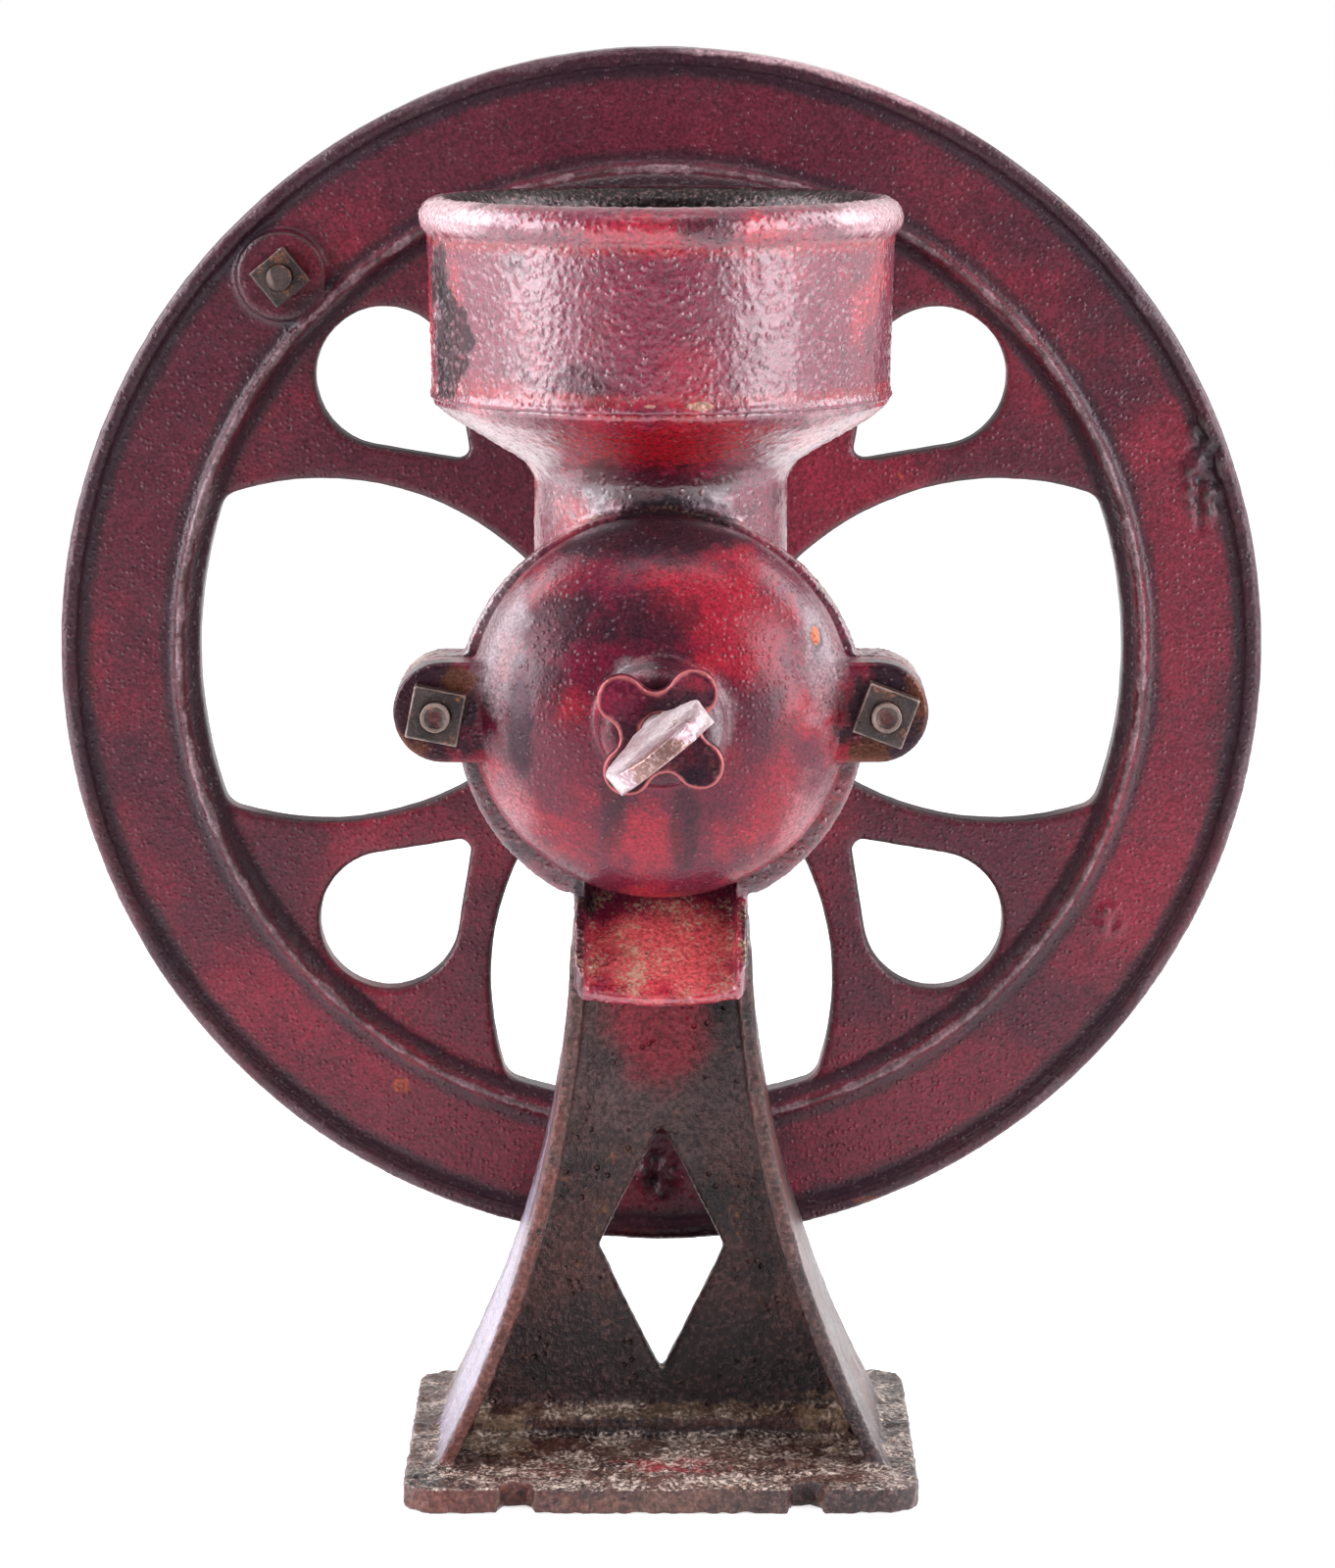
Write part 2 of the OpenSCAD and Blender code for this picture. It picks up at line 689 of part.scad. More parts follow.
module mill_body() {
    color(cast_red)
    difference() {
        union() {
            bar(joint_y, chamber_back_y, chamber_r);
            difference() {
                translate([0, 0, -joint_flange_drop]) bar(joint_y, joint_y + joint_flange_t, joint_flange_r);
                translate([-flange_gap_w / 2, joint_y - cut, axis_z - 2 * chamber_r])
                    cube([flange_gap_w, joint_flange_t + 2 * cut, chamber_r]);
            }
            plate_between(joint_y, body_ear_y) ear_outline();
            bar(chamber_back_y - eye, barrel_back_y, barrel_r);
            bar(barrel_back_y - eye, sleeve_end_y, sleeve_r);
            funnel_outside();
            translate([-body_foot_w / 2, -body_foot_d / 2, pad_z])
                cube([body_foot_w, body_foot_d, axis_z - pad_z]);
            chute();
        }
        bar(joint_y - cut, chamber_floor_y, chamber_bore_r);
        bar(chamber_floor_y - cut, barrel_floor_y, barrel_bore_r);
        bar(barrel_floor_y - cut, sleeve_end_y + cut, bearing_r);
        throat();
        intersection() {
            chute_space();
            translate([-chute_w, joint_y - 2 * chamber_r, 0])
                cube([2 * chute_w, chamber_floor_y - joint_y + 2 * chamber_r, axis_z]);
        }
        ear_holes(joint_y, body_ear_y);
        for (sx = [-1, 1]) {
            translate([sx * burr_screw_at, 0, axis_z])
                rod(chamber_floor_y - cut, chamber_floor_y + burr_screw_grip + end_clear,
                    burr_screw_r + set_fit);
            translate([sx * pad_bolt_x, pad_bolt_y, pad_z - cut])
                cylinder(h = pad_bolt_grip + cut + end_clear, r = pad_bolt_r + set_fit);
        }
        at_hopper_screws()
            translate([0, 0, seat_z - hopper_screw_grip - end_clear])
                cylinder(h = hopper_screw_grip + end_clear + cut, r = hopper_screw_r + set_fit);
    }
}

// Carries its children to each of the hopper's screws
module at_hopper_screws() {
    for (i = [0 : hopper_screw_count - 1])
        translate([0, hopper_y, 0])
            rotate([0, 0, 90 + i * 360 / hopper_screw_count])
                translate([hopper_screw_at, 0, 0]) children();
}

module hopper() {
    color(cast_red)
    difference() {
        translate([0, hopper_y, 0]) {
            rotate_extrude()
                polygon([[mouth_r, seat_z], [hopper_r, seat_z], [hopper_top_r, roll_z],
                         [hopper_top_r - hopper_wall, roll_z], [hopper_r - hopper_wall, ledge_top_z],
                         [mouth_r, ledge_top_z]]);
            rotate_extrude() translate([roll_r, roll_z]) circle(r = rim_roll_r);
        }
        at_hopper_screws()
            translate([0, 0, seat_z - cut]) cylinder(h = ledge_t + 2 * cut, r = hopper_screw_r + bolt_clear);
    }
}

module hopper_screws() {
    color(steel)
    at_hopper_screws() {
        translate([0, 0, seat_z - hopper_screw_grip])
            cylinder(h = hopper_screw_grip + ledge_t + eye, r = hopper_screw_r);
        translate([0, 0, ledge_top_z]) cylinder(h = hopper_screw_head_h, r = hopper_screw_head_r);
    }
}

// Points of the dome, from its edge to its apex, as a quarter of an ellipse
function dome(r, depth, y, n) =
    [for (i = [0 : n]) [r * cos(90 * i / n), y - depth * sin(90 * i / n)]];

module front_cover() {
    color(cast_red)
    difference() {
        union() {
            turned(concat([[0, joint_y], [cover_r, joint_y]],
                          dome(cover_r, dome_depth, joint_y - cover_edge, 18)));
            turned(concat([[0, boss_y], [0, dome_apex_y + cover_wall], [boss_r, dome_apex_y + cover_wall]],
                          arc([boss_r - boss_round, boss_y + boss_round], boss_round, 0, -90, 6)));
            plate_between(cover_ear_y, joint_y) ear_outline_outside();
        }
        turned(concat([[0, joint_y + cut], [cover_cavity_r, joint_y + cut]],
                      dome(cover_cavity_r, cover_cavity_depth, joint_y, 18)));
        bar(boss_y - cut, joint_y, screw_bore_r);
        ear_holes(cover_ear_y, joint_y);
        translate([0, boss_y + oil_hole_back, axis_z]) cylinder(h = boss_r + cut, r = oil_hole_r);
    }
}

// Ears of the cover, kept to the outside of the dome's own cavity
module ear_outline_outside() {
    difference() {
        ear_outline();
        translate([0, axis_z]) circle(r = cover_cavity_r);
    }
}

module cover_bolts() {
    color(dark_steel)
    for (sx = [-1, 1])
        translate([sx * ear_x, 0, axis_z]) {
            square_block(body_ear_y, body_ear_y + bolt_head_t, nut_w, 0);
            rod(cover_bolt_tip_y, body_ear_y + eye, cover_bolt_r);
        }
}

module cover_nuts() {
    color(dark_steel)
    for (sx = [-1, 1])
        translate([sx * ear_x, 0, axis_z])
            square_nut(cover_ear_y - nut_t, cover_ear_y, nut_w, cover_bolt_r + set_fit,
                       sx < 0 ? left_nut_turn : right_nut_turn);
}

// Cutting grooves around the shaft's centre line, swept back from the radius
module grooves(y0, y1) {
    for (i = [0 : groove_count - 1])
        translate([0, 0, axis_z]) rotate([0, (i + 0.5) * 360 / groove_count, 0])
            translate([barrel_bore_r + groove_w, y0, 0]) rotate([0, 20, 0])
                translate([0, 0, -groove_w / 2]) cube([burr_r, y1 - y0, groove_w]);
}

module fixed_burr() {
    color(steel)
    difference() {
        bar(fixed_burr_y, chamber_floor_y, burr_r);
        bar(fixed_burr_y - cut, chamber_floor_y + cut, barrel_bore_r);
        grooves(fixed_burr_y - cut, fixed_burr_y + groove_depth);
        for (sx = [-1, 1])
            translate([sx * burr_screw_at, 0, axis_z]) {
                rod(fixed_burr_y - cut, chamber_floor_y + cut, burr_screw_r + set_fit);
                rod(fixed_burr_y - cut, fixed_burr_y + groove_depth, burr_screw_head_r + set_fit);
                translate([0, fixed_burr_y + groove_depth - eye, 0]) rotate([-90, 0, 0])
                    cylinder(h = burr_screw_sink, r1 = burr_screw_head_r + set_fit,
                             r2 = burr_screw_r + set_fit);
            }
    }
}

module fixed_burr_screws() {
    color(dark_steel)
    for (sx = [-1, 1])
        translate([sx * burr_screw_at, 0, axis_z]) {
            rod(fixed_burr_y + groove_depth, chamber_floor_y + burr_screw_grip, burr_screw_r);
            translate([0, fixed_burr_y + groove_depth, 0]) rotate([-90, 0, 0])
                cylinder(h = burr_screw_sink, r1 = burr_screw_head_r, r2 = burr_screw_r);
        }
}

module thrust_button() {
    color(steel) bar(button_front_y, button_back_y, screw_r);
}

// Outline of the spade head in its own plane: a round paddle on a short neck
module spade_outline() {
    round_r = spade_w / 2;
    translate([0, spade_l - round_r]) circle(r = round_r);
    polygon([[-screw_r, 0], [screw_r, 0], [round_r, spade_l - round_r], [-round_r, spade_l - round_r]]);
}

// Spade head from its root at the origin, forged thinner towards its tip
module spade() {
    slope = (screw_r - spade_t / 2) / spade_l;
    tip = spade_l + cut;
    difference() {
        translate([0, 0, -screw_r]) linear_extrude(2 * screw_r) mirror([0, 1]) spade_outline();
        for (side = [-1, 1])
            translate([-spade_w, 0, 0]) rotate([90, 0, 90]) linear_extrude(2 * spade_w)
                polygon([[-cut, side * (screw_r + cut)], [-cut, side * (screw_r - cut * slope)],
                         [-tip, side * (screw_r - tip * slope)], [-tip, side * (screw_r + cut)]]);
    }
}

module adjusting_screw() {
    color(steel) {
        bar(spade_back_y - eye, screw_tip_y, screw_r);
        translate([0, spade_back_y, axis_z]) rotate([0, -spade_turn, 0]) spade();
    }
}

// Outline of the lock nut: four lobes with a round hollow between each two
module lobed_outline() {
    difference() {
        union() {
            polygon([for (i = [0 : 7])
                (i % 2 == 0 ? hollow_at : lobe_at) * [cos(i * 45), sin(i * 45)]]);
            for (i = [0 : 3]) rotate(45 + i * 90) translate([lobe_at, 0]) circle(r = lobe_r);
        }
        for (i = [0 : 3]) rotate(i * 90) translate([hollow_at, 0]) circle(r = hollow_r);
    }
}

module lock_nut() {
    color(cast_red)
    difference() {
        plate_between(lock_nut_front_y, lock_nut_back_y)
            translate([0, axis_z]) rotate(lobe_turn - 45) lobed_outline();
        bar(lock_nut_front_y - cut, lock_nut_back_y + cut, screw_bore_r);
    }
}

module shaft() {
    color(steel)
    difference() {
        union() {
            bar(rotor_burr_y - nose_l, rotor_burr_y + eye, nose_r);
            bar(rotor_burr_y, hub_back_y, shaft_r);
            bar(hub_front_y - collar_t, hub_front_y, collar_r);
            bar(hub_back_y - eye, shaft_tail_y, tail_r);
        }
        key_slot(0);
        cross_hole(burr_pin_y, nose_r + cut);
        cross_hole(worm_pin_y, shaft_r + cut);
    }
}

// Cross hole for a pin through the shaft's centre line
module cross_hole(y, reach) {
    translate([-reach, y, axis_z]) rotate([0, 90, 0]) cylinder(h = 2 * reach, r = cross_pin_r + set_fit);
}

// Cross pin through the shaft's centre line
module cross_pin(y, reach) {
    translate([-reach, y, axis_z]) rotate([0, 90, 0]) cylinder(h = 2 * reach, r = cross_pin_r);
}

// Space for the key, half in the shaft and half in the hub
module key_slot(fit) {
    translate([-key_w / 2 - fit, key_y - fit, axis_z + shaft_r - key_w / 2 - fit])
        cube([key_w + 2 * fit, key_l + 2 * fit, key_w + 2 * fit]);
}

module flywheel_key() {
    color(dark_steel) key_slot(-set_fit);
}

module feed_worm() {
    color(steel)
    difference() {
        union() {
            bar(worm_front_y, worm_back_y, worm_core_r);
            translate([0, worm_front_y, axis_z]) rotate([-90, 0, 0])
                linear_extrude(worm_l, twist = 360 * worm_turns, slices = 24, segments = 10)
                    for (i = [0 : worm_starts - 1]) rotate(i * 360 / worm_starts) worm_flight();
        }
        bar(worm_front_y - cut, worm_back_y + cut, shaft_r + set_fit);
        cross_hole(worm_pin_y, worm_r + cut);
    }
}

// Section of one flight of the worm, from inside the core to a narrower edge
module worm_flight() {
    root_t = worm_flight_t / 2;
    edge_t = worm_flight_t / 3;
    polygon([[shaft_r + cut, -root_t], [worm_r - edge_t, -edge_t], [worm_r, 0],
             [worm_r - edge_t, edge_t], [shaft_r + cut, root_t]]);
}

module worm_pin() {
    color(dark_steel) cross_pin(worm_pin_y, worm_core_r);
}

module rotating_burr() {
    color(steel)
    difference() {
        union() {
            bar(rotor_burr_front_y, rotor_burr_y, burr_r);
            bar(rotor_burr_front_y - burr_hub_l, rotor_burr_front_y + eye, burr_hub_r);
        }
        bar(rotor_burr_front_y - burr_hub_l - cut, rotor_burr_y + cut, nose_r + set_fit);
        grooves(rotor_burr_y - groove_depth, rotor_burr_y + cut);
        cross_hole(burr_pin_y, burr_hub_r + cut);
    }
}

module burr_pin() {
    color(dark_steel) cross_pin(burr_pin_y, burr_hub_r);
}

// Half of a large opening, from the rim down to the hub, above its middle line
function lens_half() =
    let (c = [lens_out, -lens_side],
         rim_c = crossing(rim_bore_r - lens_corner_r, c, lens_r - lens_corner_r),
         tip_r = hub_r + rim_land,
         hub_c = crossing(tip_r + lens_tip_r, c, lens_r - lens_tip_r),
         rim_a = angle_of(rim_c),
         side_a = angle_of(rim_c - c),
         tip_a = angle_of(hub_c - c),
         hub_a = angle_of(hub_c))
    concat(arc([0, 0], rim_bore_r, 0, rim_a, 10),
           arc(rim_c, lens_corner_r, rim_a, side_a, 6),
           arc(c, lens_r, side_a, tip_a, 18),
           arc(hub_c, lens_tip_r, tip_a, hub_a + 180, 6),
           arc([0, 0], tip_r, hub_a, 0, 4));

// Whole large opening, with its middle line along X
module lens_outline() {
    half = lens_half();
    last = len(half) - 1;
    polygon(concat(half, [for (i = [last - 1 : -1 : 1]) [half[i].x, -half[i].y]]));
}

// Teardrop hole, round end outwards, with its middle line along X
module drop_outline() {
    lean = asin((drop_r - drop_tip_r) / (drop_out - drop_in));
    polygon(concat(arc([drop_out, 0], drop_r, -90 - lean, 90 + lean, 24),
                   arc([drop_in, 0], drop_tip_r, 90 + lean, 270 - lean, 8)));
}

// Section of one half of the rim, from its middle plane to one face
module rim_section() {
    face_y = rim_w / 2 - face_depth;
    lip_r = wheel_r - lip_w;
    slope_r = rim_bore_r + rim_land;
    polygon([[slope_r, 0], [wheel_r, 0], [wheel_r, rim_w / 2 - face_depth / 2],
             [wheel_r - face_depth / 2, rim_w / 2], [lip_r + face_depth / 4, rim_w / 2], [lip_r, face_y],
             [ridge_r + ridge_w / 2, face_y], [ridge_r + ridge_w / 4, rim_w / 2 - face_depth / 4],
             [ridge_r - ridge_w / 4, rim_w / 2 - face_depth / 4], [ridge_r - ridge_w / 2, face_y],
             [slope_r, spoke_t / 2]]);
}

module flywheel() {
    color(cast_red)
    difference() {
        union() {
            translate([0, wheel_behind, axis_z]) rotate([-90, 0, 0]) {
                rotate_extrude($fn = 180) rim_section();
                mirror([0, 0, 1]) rotate_extrude($fn = 180) rim_section();
            }
            bar(wheel_behind - spoke_t / 2, wheel_behind + spoke_t / 2, rim_bore_r + rim_land + cut);
            bar(hub_front_y, hub_back_y, hub_r);
            at_crank() rod(crank_front_y, crank_back_y, crank_boss_r);
        }
        plate_between(rim_front_y, rim_back_y) translate([0, axis_z])
            for (i = [0 : 3]) {
                rotate(i * 90) lens_outline();
                rotate(45 + i * 90) drop_outline();
            }
        bar(hub_front_y - cut, hub_back_y + cut, shaft_r + set_fit);
        key_slot(0);
        at_crank() rod(crank_front_y - cut, crank_back_y + cut, spindle_thread_r + set_fit);
    }
}

module shaft_washer() {
    color(steel)
    difference() {
        bar(hub_back_y, tail_nut_y, tail_washer_r);
        bar(hub_back_y - cut, tail_nut_y + cut, tail_r + bolt_clear);
    }
}

module shaft_nut() {
    color(dark_steel)
    translate([0, 0, axis_z])
        square_nut(tail_nut_y, tail_nut_y + tail_nut_t, tail_nut_w, tail_r + set_fit, 0);
}

module crank_spindle() {
    color(steel)
    at_crank() {
        rod(crank_front_y - crank_nut_t - bolt_end, crank_back_y + eye, spindle_thread_r);
        rod(crank_back_y, crank_back_y + spindle_collar_t, spindle_collar_r);
        rod(crank_back_y + spindle_collar_t - eye, spindle_head_y + eye, spindle_r);
        translate([0, spindle_head_y, 0]) rotate([-90, 0, 0])
            cylinder(h = spindle_head_h, r1 = spindle_head_r, r2 = spindle_head_r / 2);
    }
}

module crank_nut() {
    color(dark_steel)
    at_crank()
        square_nut(crank_front_y - crank_nut_t, crank_front_y, crank_nut_w,
                   spindle_thread_r + set_fit, crank_nut_turn);
}

// Swell of the grip along its length
function grip_swell(t) = grip_end_r + (grip_r - grip_end_r) * pow(sin(180 * t), 0.7);

module crank_grip() {
    steps = 20;
    color("saddlebrown")
    at_crank() rotate([-90, 0, 0]) rotate_extrude()
        polygon(concat([[spindle_r + run_fit, grip_front_y]],
                       [for (i = [0 : steps]) [grip_swell(i / steps), grip_front_y + grip_l * i / steps]],
                       [[spindle_r + run_fit, grip_back_y]]));
}

pedestal();
pedestal_bolts();
mill_body();
hopper();
hopper_screws();
front_cover();
cover_bolts();
cover_nuts();
fixed_burr();
fixed_burr_screws();
thrust_button();
adjusting_screw();
lock_nut();
shaft();
feed_worm();
worm_pin();
rotating_burr();
burr_pin();
flywheel();
flywheel_key();
shaft_washer();
shaft_nut();
crank_spindle();
crank_nut();
crank_grip();
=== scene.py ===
import json
import math

import bmesh
import bpy
import numpy as np
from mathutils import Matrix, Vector, noise


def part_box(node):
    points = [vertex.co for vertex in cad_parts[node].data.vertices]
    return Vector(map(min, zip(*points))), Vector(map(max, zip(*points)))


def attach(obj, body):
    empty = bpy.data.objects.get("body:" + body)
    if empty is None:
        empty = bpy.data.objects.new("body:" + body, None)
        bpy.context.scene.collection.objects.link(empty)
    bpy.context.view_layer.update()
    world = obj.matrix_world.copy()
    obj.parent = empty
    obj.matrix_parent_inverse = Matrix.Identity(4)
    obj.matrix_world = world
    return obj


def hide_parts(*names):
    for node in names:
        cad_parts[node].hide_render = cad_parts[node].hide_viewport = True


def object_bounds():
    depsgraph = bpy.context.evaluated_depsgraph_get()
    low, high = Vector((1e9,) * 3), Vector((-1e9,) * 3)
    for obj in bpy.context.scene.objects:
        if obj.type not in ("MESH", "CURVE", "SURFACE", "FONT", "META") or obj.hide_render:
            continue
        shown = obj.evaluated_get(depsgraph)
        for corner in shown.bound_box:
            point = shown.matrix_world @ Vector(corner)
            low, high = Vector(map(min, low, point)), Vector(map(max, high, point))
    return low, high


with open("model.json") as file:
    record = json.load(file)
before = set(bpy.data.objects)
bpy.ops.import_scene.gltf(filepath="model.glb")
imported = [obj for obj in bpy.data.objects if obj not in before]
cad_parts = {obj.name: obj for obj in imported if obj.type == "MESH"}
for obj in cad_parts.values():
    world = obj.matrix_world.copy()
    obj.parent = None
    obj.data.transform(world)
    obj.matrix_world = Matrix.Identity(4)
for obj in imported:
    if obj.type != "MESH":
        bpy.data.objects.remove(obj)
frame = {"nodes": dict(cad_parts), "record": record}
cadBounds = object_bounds()
nodes = frame["nodes"]
record = frame["record"]
bodyOf = {node: body for body, members in record["behaviour"]["bodies"].items() for node in members}
mm = 0.001
print("frame loaded:", len(nodes), "nodes")


# node helpers

def plug(tree, socket, value):
    if isinstance(value, bpy.types.NodeSocket):
        tree.links.new(value, socket)
    else:
        socket.default_value = value


def put(tree, kind, inputs=None, **settings):
    node = tree.nodes.new("ShaderNode" + kind)
    for key, value in settings.items():
        setattr(node, key, value)
    for key, value in (inputs or {}).items():
        plug(tree, node.inputs[key], value)
    return node


def calc(tree, operation, *values):
    return put(tree, "Math", dict(enumerate(values)), operation=operation).outputs[0]


def vec(tree, operation, *values):
    node = put(tree, "VectorMath", dict(enumerate(values)), operation=operation)
    return node.outputs["Value" if operation in ("LENGTH", "DOT_PRODUCT") else "Vector"]


def axes(tree, vector):
    return put(tree, "SeparateXYZ", {0: vector}).outputs


def surfaceNormal(tree):
    return put(tree, "NewGeometry").outputs["Normal"]


def blend(tree, factor, under, over, how="MIX"):
    mix = put(tree, "Mix", data_type="RGBA", blend_type=how)
    for index, value in ((0, factor), (6, under), (7, over)):
        plug(tree, mix.inputs[index], value)
    return mix.outputs[2]


def stain(tree, colour, mask, share, tone):
    return blend(tree, calc(tree, "MULTIPLY", mask, share), colour, tone)


def ramp(tree, value, low, high, start=0.0, end=1.0):
    spread = {"Value": value, "From Min": low, "From Max": high, "To Min": start, "To Max": end}
    return put(tree, "MapRange", spread, interpolation_type="SMOOTHSTEP").outputs[0]


def cloud(tree, vector, size, detail=3.0, rough=0.55):  # size in mm
    scale = 1 / (size * mm) if isinstance(size, (int, float)) else calc(tree, "DIVIDE", 1 / mm, size)
    given = {"Vector": vector, "Scale": scale, "Detail": detail, "Roughness": rough}
    return put(tree, "TexNoise", given).outputs[0]


def cells(tree, vector, scale):
    return put(tree, "TexVoronoi", {"Vector": vector, "Scale": scale, "Randomness": 1.0}).outputs


def rgb(red, green, blue):
    return (red, green, blue, 1.0)


def newGroup(name, inputs, outputs):
    group = bpy.data.node_groups.new(name, "ShaderNodeTree")
    for label, kind, value in inputs:
        socket = group.interface.new_socket(label, in_out="INPUT", socket_type="NodeSocket" + kind)
        if value is not None:
            socket.default_value = value
    for label, kind in outputs:
        group.interface.new_socket(label, in_out="OUTPUT", socket_type="NodeSocket" + kind)
    return group, group.nodes.new("NodeGroupInput").outputs, group.nodes.new("NodeGroupOutput").inputs


def placed(tree, group, **inputs):  # socket names are written in camelCase here
    node = put(tree, "Group", node_tree=group)
    for socket in node.inputs:
        key = socket.name[0].lower() + socket.name[1:].replace(" ", "")
        if key in inputs:
            plug(tree, socket, inputs[key])
    return node.outputs


# effects that several finishes share

def buildCastGrain():
    tree, given, out = newGroup("castGrain", [("Vector", "Vector", None), ("Grain Size", "Float", 1.0)],
                                [("Grain", "Float"), ("Pits", "Float"), ("Mottle", "Float")])
    place, size = given["Vector"], given["Grain Size"]
    pitsPerGrain, pitEdge, pitPlaces = 0.4, (0.3, 0.12), (0.5, 0.62)
    clusterSize, mottleSize = 6.0, 13.0  # in grains
    away = cells(tree, place, calc(tree, "DIVIDE", pitsPerGrain / mm, size))["Distance"]
    gate = ramp(tree, cloud(tree, place, calc(tree, "MULTIPLY", size, clusterSize)), *pitPlaces)
    plug(tree, out["Grain"], cloud(tree, place, size, 4.0, 0.62))
    plug(tree, out["Pits"], calc(tree, "MULTIPLY", ramp(tree, away, *pitEdge), gate))
    plug(tree, out["Mottle"], cloud(tree, place, calc(tree, "MULTIPLY", size, mottleSize), 4.0, 0.6))
    return tree


# worn convex edges, and painted crevice shade in concave places, both read from pointiness
def buildEdgeWearAndCreviceShade():
    inputs = [("Vector", "Vector", None), ("Start", "Float", 0.52), ("Full", "Float", 0.57),
              ("Break Size", "Float", 4.0)]
    tree, given, out = newGroup("edgeWear", inputs, [("Edge", "Float"), ("Hollow", "Float")])
    breakDepth, creviceShadeEdge = 0.06, (0.49, 0.44)
    point = put(tree, "NewGeometry").outputs["Pointiness"]
    broken = calc(tree, "SUBTRACT", cloud(tree, given["Vector"], given["Break Size"]), 0.5)
    shaken = calc(tree, "MULTIPLY_ADD", broken, breakDepth, point)
    plug(tree, out["Edge"], ramp(tree, shaken, given["Start"], given["Full"]))
    plug(tree, out["Hollow"], ramp(tree, shaken, *creviceShadeEdge))
    return tree


def buildPaintPatch():
    inputs = [(label, "Vector", None) for label in ("Vector", "Centre", "Reach")]
    inputs += [("Soft", "Float", 0.6), ("Ragged", "Float", 0.8)]
    tree, given, out = newGroup("paintPatch", inputs, [("Mask", "Float")])
    raggedSize, raggedDepth, spread = 6.0, 2.2, 0.4
    offset = vec(tree, "SUBTRACT", given["Vector"], given["Centre"])
    reach = vec(tree, "LENGTH", vec(tree, "DIVIDE", offset, given["Reach"]))
    coarse = calc(tree, "SUBTRACT", cloud(tree, given["Vector"], raggedSize, 4.0, 0.6), 0.5)
    warped = calc(tree, "MULTIPLY_ADD", coarse, calc(tree, "MULTIPLY", given["Ragged"], raggedDepth),
                  reach)
    outer = calc(tree, "ADD", 1.0, calc(tree, "MULTIPLY", given["Soft"], spread))
    inner = calc(tree, "SUBTRACT", 1.0, given["Soft"])
    plug(tree, out["Mask"], ramp(tree, warped, outer, inner))
    return tree


def buildRustBloom():
    inputs = [("Vector", "Vector", None), ("Bloom Size", "Float", 8.0), ("Amount", "Float", 0.3)]
    tree, given, out = newGroup("rustBloom", inputs, [("Mask", "Float"), ("Tint", "Color")])
    place, size = given["Vector"], given["Bloom Size"]
    fineSize, broadShare, fineShare = 0.14, 0.7, 0.3
    noRust, amountDepth, border = 0.68, 0.36, 0.09
    dark, light, lightPlaces = rgb(0.05, 0.022, 0.014), rgb(0.2, 0.065, 0.025), (0.35, 0.65)
    broad = cloud(tree, place, size, 5.0, 0.62)
    fine = cloud(tree, place, calc(tree, "MULTIPLY", size, fineSize), 3.0, 0.6)
    value = calc(tree, "ADD", calc(tree, "MULTIPLY", broad, broadShare),
                 calc(tree, "MULTIPLY", fine, fineShare))
    start = calc(tree, "SUBTRACT", noRust, calc(tree, "MULTIPLY", given["Amount"], amountDepth))
    plug(tree, out["Mask"], ramp(tree, value, start, calc(tree, "ADD", start, border)))
    plug(tree, out["Tint"], blend(tree, ramp(tree, fine, *lightPlaces), dark, light))
    return tree


def buildSettledDust():
    inputs = [("Vector", "Vector", None), ("Amount", "Float", 0.5), ("Speck Size", "Float", 1.0)]
    tree, given, out = newGroup("settledDust", inputs, [("Mask", "Float")])
    place, size = given["Vector"], given["Speck Size"]
    faceUp, driftSize, driftShare, speckShare = (0.25, 0.85), 9.0, 0.45, 0.55
    noDust, amountDepth, border = 0.78, 0.4, 0.14
    upward = ramp(tree, axes(tree, surfaceNormal(tree))["Z"], *faceUp)
    specks = cloud(tree, place, size, 3.0, 0.7)
    drift = cloud(tree, place, calc(tree, "MULTIPLY", size, driftSize))
    value = calc(tree, "MULTIPLY_ADD", drift, driftShare, calc(tree, "MULTIPLY", specks, speckShare))
    level = calc(tree, "SUBTRACT", noDust, calc(tree, "MULTIPLY", given["Amount"], amountDepth))
    settled = ramp(tree, value, level, calc(tree, "ADD", level, border))
    plug(tree, out["Mask"], calc(tree, "MULTIPLY", upward, settled))
    return tree


def buildPimpleGrit():
    tree, given, out = newGroup("pimpleGrit", [("Vector", "Vector", None), ("Spacing", "Float", 1.4)],
                                [("Height", "Float"), ("Top", "Float")])
    flank, heights, top = (0.52, 0.06), (0.15, 0.95), (0.4, 0.85)
    grains = cells(tree, given["Vector"], calc(tree, "DIVIDE", 1 / mm, given["Spacing"]))
    chance = axes(tree, grains["Color"])["X"]
    height = calc(tree, "MULTIPLY", ramp(tree, grains["Distance"], *flank), ramp(tree, chance, *heights))
    plug(tree, out["Height"], height)
    plug(tree, out["Top"], ramp(tree, height, *top))
    return tree


castGrain, edgeWear, paintPatch = buildCastGrain(), buildEdgeWearAndCreviceShade(), buildPaintPatch()
rustBloom, settledDust, pimpleGrit = buildRustBloom(), buildSettledDust(), buildPimpleGrit()
print("shared effects built")


# finishes

def startMaterial(name):
    material = bpy.data.materials.new(name)
    material.use_nodes = True
    tree = material.node_tree
    shader = tree.nodes["Principled BSDF"]
    place = put(tree, "TexCoord").outputs["Object"]
    return material, tree, shader, place


def bumped(tree, shader, height, depth):  # depth in mm
    bump = put(tree, "Bump", {"Height": height, "Distance": depth * mm, "Strength": 1.0})
    plug(tree, shader.inputs["Normal"], bump.outputs[0])


